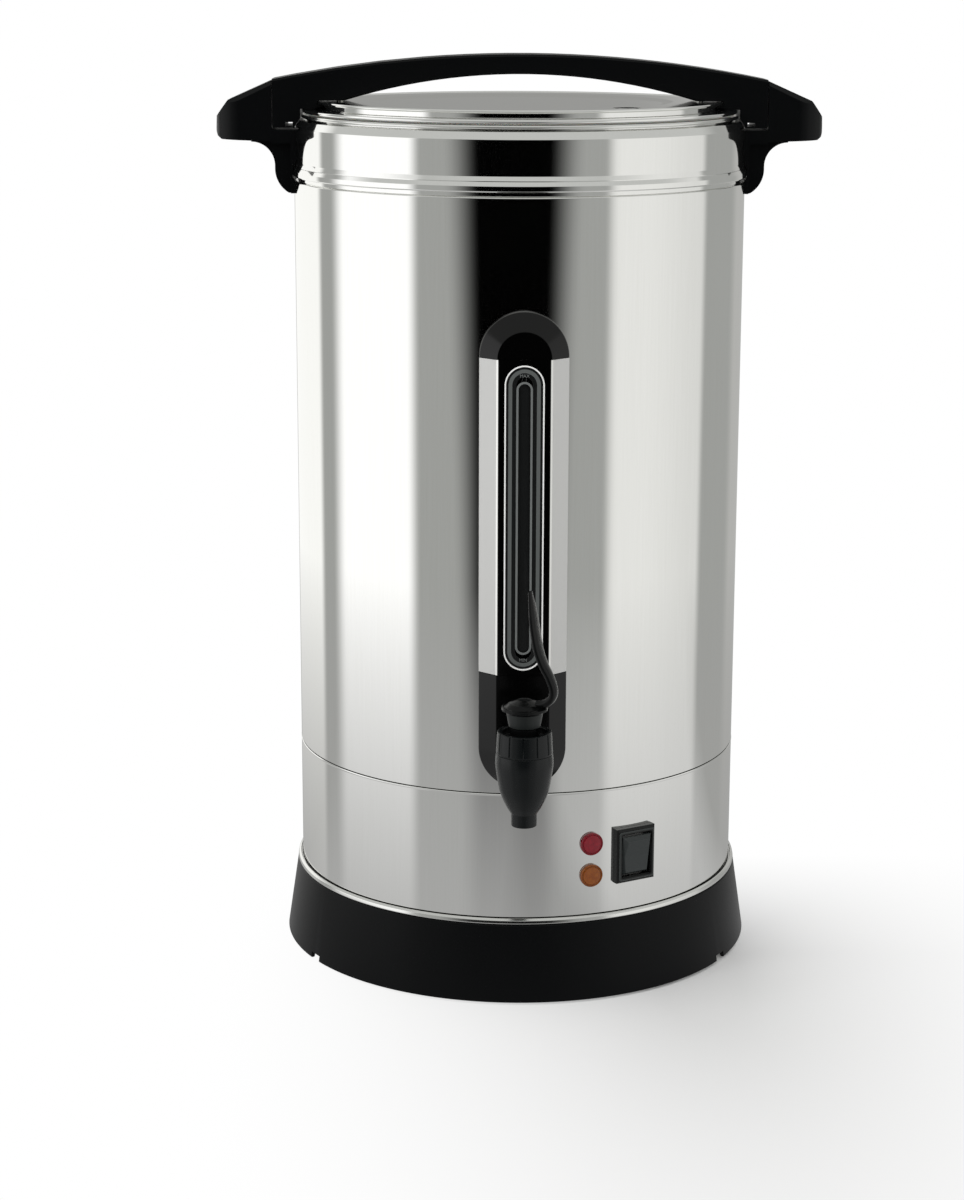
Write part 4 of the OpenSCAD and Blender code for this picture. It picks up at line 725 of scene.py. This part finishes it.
def mark(name, words, height, z):
    """Small printed capitals on the window, in mm."""
    text = bpy.data.curves.new(name, "FONT")
    text.body = words
    text.size = height * mm * 1.35            # the font's full size over its capitals
    text.align_x = "CENTER"
    text.align_y = "CENTER"
    text.extrude = 0.02 * mm
    text.materials.append(foil_grey)
    made = bpy.data.objects.new(name, text)
    scene.collection.objects.link(made)
    made.location = (0, -149.74 * mm, z * mm)
    made.rotation_euler = (math.radians(90), 0, 0)
    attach(made, "urn")


mark("max_mark", "MAX", 1.9, 374.2)
mark("min_mark", "MIN", 1.9, 211.2)


# ---- Tap ----
# The tap is moulded in black nylon. The body screws through the gauge into the tank; a
# ribbed ring holds the stem, whose silicone cup the lever's cam lifts off its seat.

# Nylon 66, injection moulded: deep black with a soft shine; its edges are painted paler, partly wear and partly a
# painted highlight
nylon, tree, shader = solid("black_nylon_moulded", None, {"IOR": 1.53, "Specular IOR Level": 0.28})
grain(tree, shader, 0.7 * mm, 0.010 * mm, 0.22, 0.30)
worn_and_highlit_edges(tree, shader, "#0b0e0f", "#2c3030", 0.7)

# Acetal of the lever: jet black and glossier; its edges are painted paler, partly wear and partly a painted
# highlight
acetal, tree, shader = solid("black_acetal_moulded", None, {"Specular IOR Level": 0.2})
grain(tree, shader, 0.9 * mm, 0.006 * mm, 0.16, 0.24)
worn_and_highlit_edges(tree, shader, "#090a0a", "#232626", 0.5)
# The lever's socket is painted a paler, duller grey as a painted sheen of the light it catches; its edges are
# painted paler still, partly wear and partly a painted highlight
acetal_painted_sheen, tree, shader = solid("grey_acetal_painted_sheen", None, {"Specular IOR Level": 0.35})
grain(tree, shader, 0.5 * mm, 0.010 * mm, 0.35, 0.45)
worn_and_highlit_edges(tree, shader, "#191d1c", "#363b3a", 0.5)

TAP_HEIGHT = 155        # of the middle of the shank, from which the tap's profiles are measured
TAP_REACH = 190         # from the urn's axis to the tap's
TAP = Matrix.Translation((0, -TAP_REACH * mm, TAP_HEIGHT * mm))
ALONG = Matrix.Translation((0, 0, TAP_HEIGHT * mm)) @ Matrix.Rotation(math.radians(90), 4, "X")
LEVER = TAP @ Matrix.Rotation(math.radians(70), 4, "Z")     # the lever points to the right at rest


def between(values, t):
    """A smooth value through evenly spaced ones, t from 0 to 1."""
    s = t * (len(values) - 1)
    i = min(int(s), len(values) - 2)
    u = s - i
    a, b, c, d = (Vector(values[min(max(k, 0), len(values) - 1)]) for k in (i - 1, i, i + 1, i + 2))
    return 0.5 * (2 * b + (c - a) * u + (2 * a - 5 * b + 4 * c - d) * u ** 2 + (3 * b - a - 3 * c + d) * u ** 3)


TAP_SIDE = [(7.3, -22), (10.5, -16.7), (13.6, -9.4), (15.1, -2), (16.2, 5.5), (16.3, 9.3), (16.0, 13.0)]
outside = [(5.2, -29, 0.3), (7.2, -29, 0.5)]
outside += [(*between(TAP_SIDE, k / 30), 0) for k in range(31)]
outside += [(15.9, 13.35, 0.2), (11.5, 13.35, 0.2), (11.5, -4, 0.3), (5.2, -4, 0.3)]
piece("tap_body_moulding", spun(rounded(outside, 0, 4), 128, TAP), nylon, "urn", "tap_plastic", "tap_body",
      smooth=35)
piece("tap_shank", spun(rounded([
    (6.5, 112), (9.5, 112, 0.5), (9.5, 151.6, 0), (14, 151.6, 0.3), (14, 154.4, 0.8), (10.8, 155.2, 0.6),
    (9.6, 158, 0.8), (9.4, 176.5), (6.5, 176.5)], 0.1, 4), 96, ALONG),
    nylon, "urn", "tap_plastic", smooth=35)

RING_PROFILE = rounded([
    (11.4, 6, 0.2), (11.4, 13.4, 0.1), (15.8, 13.45, 0.2), (15.95, 14.4, 0.2), (15.3, 26, 0.7), (12.5, 25.9, 0.4),
    (12.5, 22, 0.2), (2.6, 22, 0.2), (2.6, 18.6, 0), (9.6, 18.6, 0), (9.6, 6, 0.2)], 0.1, 4)
GROOVES, GROOVE_DEPTH = 12, 0.75


def ribbed(net):
    """The bonnet's ring: a turned profile whose outside is dented by grooves."""
    steps = 360
    rows = []
    for s in range(steps):
        angle = 2 * math.pi * (s - 4) / steps
        away = abs((s + steps / 2 / GROOVES) % (steps / GROOVES) - steps / 2 / GROOVES)
        dent = max(0.0, 1 - away / 2.0)
        row = []
        for r, z in RING_PROFILE:
            if r > 14 and 14.4 < z:
                r -= GROOVE_DEPTH * min(1.0, dent * 1.6) * min(1.0, (z - 14.2) / 0.6)
            row.append(net.verts.new(TAP @ Vector((r * mm * math.sin(angle), -r * mm * math.cos(angle), z * mm))))
        rows.append(row)
    for s in range(steps):
        a, b = rows[s], rows[(s + 1) % steps]
        for i in range(len(a)):
            j = (i + 1) % len(a)
            net.faces.new((a[i], a[j], b[j], b[i]))


piece("tap_ring_moulding", ribbed, nylon, "urn", "tap_plastic", "tap_bonnet", smooth=40)
finish("tap_nut", nylon)
finish("tap_washers", silicone)
finish("tap_seat_cup", silicone)
finish("tap_stem", nylon)
finish("tap_spring", zinc)
finish("lever_pin", zinc)

# Lever: a hub like an upturned cup with a wide thumb disc, and a blade that sweeps up
hub = piece("lever_hub", spun(rounded([
    (0, 22.3, 0), (8, 22.3, 0.6), (8.3, 28.4, 0.3), (8.9, 29.0, 0.3), (10.4, 37.2, 0.8), (12.9, 38.5, 0.4),
    (13.0, 40.0, 0.5), (11.2, 40.2, 0.8), (9.0, 42.2, 1.5), (4.0, 44.2, 2.5), (0, 44.6, 0)], 0.2, 5), 128, LEVER),
    acetal, "lever", "tap_plastic", "tap_lever", smooth=35)
refaced(hub, acetal_painted_sheen, lambda c: 29.1 < c.z - TAP_HEIGHT < 36.6)
cut_away(hub, block((-3, -10, 21), (3, 3, 29), LEVER), bar(
    4.4, -3, 3, LEVER @ Matrix.Translation((0, 0, 29 * mm)) @ Matrix.Rotation(math.radians(90), 4, "Y")))

BLADE = [(7.5, 41.6), (12.6, 43.4), (16.2, 47), (16.6, 52), (14.2, 58.6), (10.8, 65), (7.9, 73), (6, 83),
         (4.6, 93), (2.8, 106)]
BLADE_WIDE = [3.2, 3.8, 4.2, 4.4, 4.7, 5.2, 5.9, 6.2, 5.6, 2.2]
BLADE_THICK = [2.6, 2.6, 2.3, 2.1, 2.0, 2.0, 2.0, 1.9, 1.7, 0.9]


def blade(net):
    """A flat bar of rounded section swept along the lever's curve, closed at both ends."""
    points = [(*spot, wide, thick) for spot, wide, thick in zip(BLADE, BLADE_WIDE, BLADE_THICK)]
    steps, sides = 64, 24
    line = [between(points, k / steps) for k in range(steps + 1)]
    loops = []
    for k, (out, height, wide, thick) in enumerate(line):
        ahead, behind = line[min(k + 1, steps)], line[max(k - 1, 0)]
        along = Vector((0, behind[0] - ahead[0], ahead[1] - behind[1])).normalized()
        flat = along.cross(Vector((1, 0, 0)))
        loops.append([])
        for s in range(sides):
            a = 2 * math.pi * s / sides
            c, d = math.cos(a), math.sin(a)
            across = math.copysign(abs(c) ** 0.8, c) * wide
            deep = math.copysign(abs(d) ** 0.8, d) * thick
            spot = Vector((across, -out, height)) + flat * deep
            loops[-1].append(net.verts.new(LEVER @ (spot * mm)))
    for a, b in zip(loops, loops[1:]):
        for i in range(sides):
            j = (i + 1) % sides
            net.faces.new((a[i], a[j], b[j], b[i]))
    net.faces.new(loops[0][::-1])
    net.faces.new(loops[-1])


piece("lever_blade", blade, acetal, "lever", "tap_plastic", smooth=60)


# ---- Lamps and switch ----
# Two neon lamps with moulded lenses, and a rocker switch whose frame clips into the lower
# shell. The lenses are clear coloured acrylic with a ribbed back that breaks up the light.

LAMPS_AZ, SWITCH_AZ = 17.8, 29.5     # degrees right of the front
SWITCH_HEIGHT = 85.3


def lens_material(name, edge, middle, glow):
    """Coloured acrylic with a painted shade darkening it towards its rim, and small facets 1.5 mm wide behind it,
    painted paler at their middles as painted glints.
    """
    made, tree, shader = solid(name, None, {"Roughness": 0.12, "Specular IOR Level": 0.45, "Coat Weight": 0.25})
    facets = add(tree, "TexVoronoi", {"Vector": add(tree, "TexCoord").outputs["Object"], "Scale": 420.0})
    facing = add(tree, "LayerWeight", {"Blend": 0.35})
    mixed = blend(tree, facing.outputs["Facing"], middle, edge)
    # the middle of each facet is painted towards the paler glow colour, a painted glint
    two_tone(tree, shader, ramp(tree, facets.outputs["Distance"], 0.0, 0.8, 0.25, 0.0), mixed, glow)
    return made


red_acrylic = lens_material("red_acrylic_lens", "#48040d", "#7a0b1e", "#ac202f")
amber_acrylic = lens_material("amber_acrylic_lens", "#421b05", "#82420e", "#ac6a1e")
for node, height, lens, slot in (("red_lamp", 94.5, red_acrylic, "red_lens"),
                                 ("amber_lamp", 75, amber_acrylic, "amber_lens")):
    seat = round_body(LAMPS_AZ) @ Matrix.Translation((0, 0, height * mm)) @ Matrix.Rotation(math.radians(90), 4, "X")
    made = piece(node + "_lens", spun(rounded([
        (0, 137.6, 0), (5.3, 137.2, 0.5), (5.6, 136.6, 0.3), (6.0, 136.6, 0.3), (6.3, 137.3, 0.4), (6.9, 136.6, 0.5),
        (6.95, 134.85, 0.2), (5.0, 134.85, 0), (5.0, 119, 0.3), (0, 119, 0)], 0.2, 4), 96, seat),
        lens, "urn", slot, node, smooth=50)
    # The flange of each lens is vacuum plated with bright metal
    made.data.materials.append(rolled)
    for face in made.data.polygons:
        spot = seat.inverted() @ face.center
        if spot.xy.length > 6.55 * mm and spot.z < 135.5 * mm:
            face.material_index = 1
finish("lamp_nuts", zinc)

# Black polyamide of the switch's frame: a smooth satin skin whose edges are painted paler, partly wear and partly a
# painted highlight
switch_black, tree, shader = solid("black_polyamide", None, {"Specular IOR Level": 0.3})
grain(tree, shader, 0.6 * mm, 0.008 * mm, 0.22, 0.30)
worn_and_highlit_edges(tree, shader, "#0e0f0f", "#4a4e4d", 0.8)

# Dark grey polyamide of the rocker, fine spark-eroded texture; its edges are painted paler, partly wear and mostly a
# painted highlight
polyamide, tree, shader = solid("dark_grey_polyamide", None, {"Specular IOR Level": 0.4})
grain(tree, shader, 0.4 * mm, 0.01 * mm, 0.26, 0.36)
worn_and_highlit_edges(tree, shader, "#303434", "#868b8a", 0.9)
softened("switch_housing", switch_black, "black_plastic", 0.35, "urn")


def inner_frame(net):
    """A raised frame round the rocker, with bevelled corners, part of the housing."""
    corner = 0.7
    seat = round_body(SWITCH_AZ) @ Matrix.Translation((0, 0, SWITCH_HEIGHT * mm))
    loops = []
    for x, z, y in ((12.0, 14.9, -138.8), (12.0, 14.9, -139.5), (11.6, 14.5, -139.9), (10.7, 13.6, -139.9),
                    (10.35, 13.3, -139.5), (10.35, 13.3, -138.8)):
        loops.append([net.verts.new(seat @ (Vector((a, y, b)) * mm)) for a, b in (
            (x - corner, -z), (x, corner - z), (x, z - corner), (x - corner, z), (corner - x, z), (-x, z - corner),
            (-x, corner - z), (corner - x, -z))])
    for k, a in enumerate(loops):
        b = loops[(k + 1) % len(loops)]
        for i in range(8):
            j = (i + 1) % 8
            net.faces.new((a[i], a[j], b[j], b[i]))


piece("switch_inner_frame", inner_frame, switch_black, "urn", "black_plastic", smooth=20)
softened("switch_rocker", polyamide, "switch_plastic", 0.4, "rocker")


# ---- Heater, wiring and percolator ----
# Hidden under the tank: a cast heat spreader with its sheathed element, thermostats, a
# fuse and a terminal block. Inside the tank stand the pump tube and the coffee basket.

# Cast aluminium: pale, slightly pitted by the sand
cast, tree, shader = solid("sand_cast_aluminium", "#b3b5b6", METAL)
grain(tree, shader, 1.0 * mm, 0.08 * mm, 0.45, 0.62)

# Nickel alloy sheath, heat-tinted brown and blue in bands 20 mm long
sheath, tree, shader = solid("heat_tinted_sheath", None, {**METAL, "Roughness": 0.42})
tint = add(tree, "TexNoise", {"Vector": add(tree, "TexCoord").outputs["Object"], "Scale": 50.0})
two_tone(tree, shader, tint.outputs["Fac"], "#6d5f55", "#5c6068")

# Ivory polyamide of the terminal block
ivory, tree, shader = solid("ivory_polyamide", "#d9d5c6")
grain(tree, shader, 0.5 * mm, 0.01 * mm, 0.36, 0.48)

# Glass-fibre sleeving on the wires: woven, 0.6 mm between threads
sleeve, tree, shader = solid("glass_fibre_sleeving", None, {"Roughness": 0.8})
weave = add(tree, "TexWave", {"Vector": add(tree, "TexCoord").outputs["Object"], "Scale": 260.0, "Distortion": 3.0})
two_tone(tree, shader, weave.outputs["Fac"], "#d8d6cc", "#efeee8")

for node, material in (("heater_plate", cast), ("heating_element", sheath), ("boil_thermostat", phenolic),
                       ("warm_thermostat", phenolic), ("thermal_fuse", brass), ("terminal_block", ivory),
                       ("internal_wires", sleeve), ("pump_tube", satin), ("pump_valve", satin),
                       ("coffee_basket", satin), ("basket_cover", satin)):
    finish(node, material)
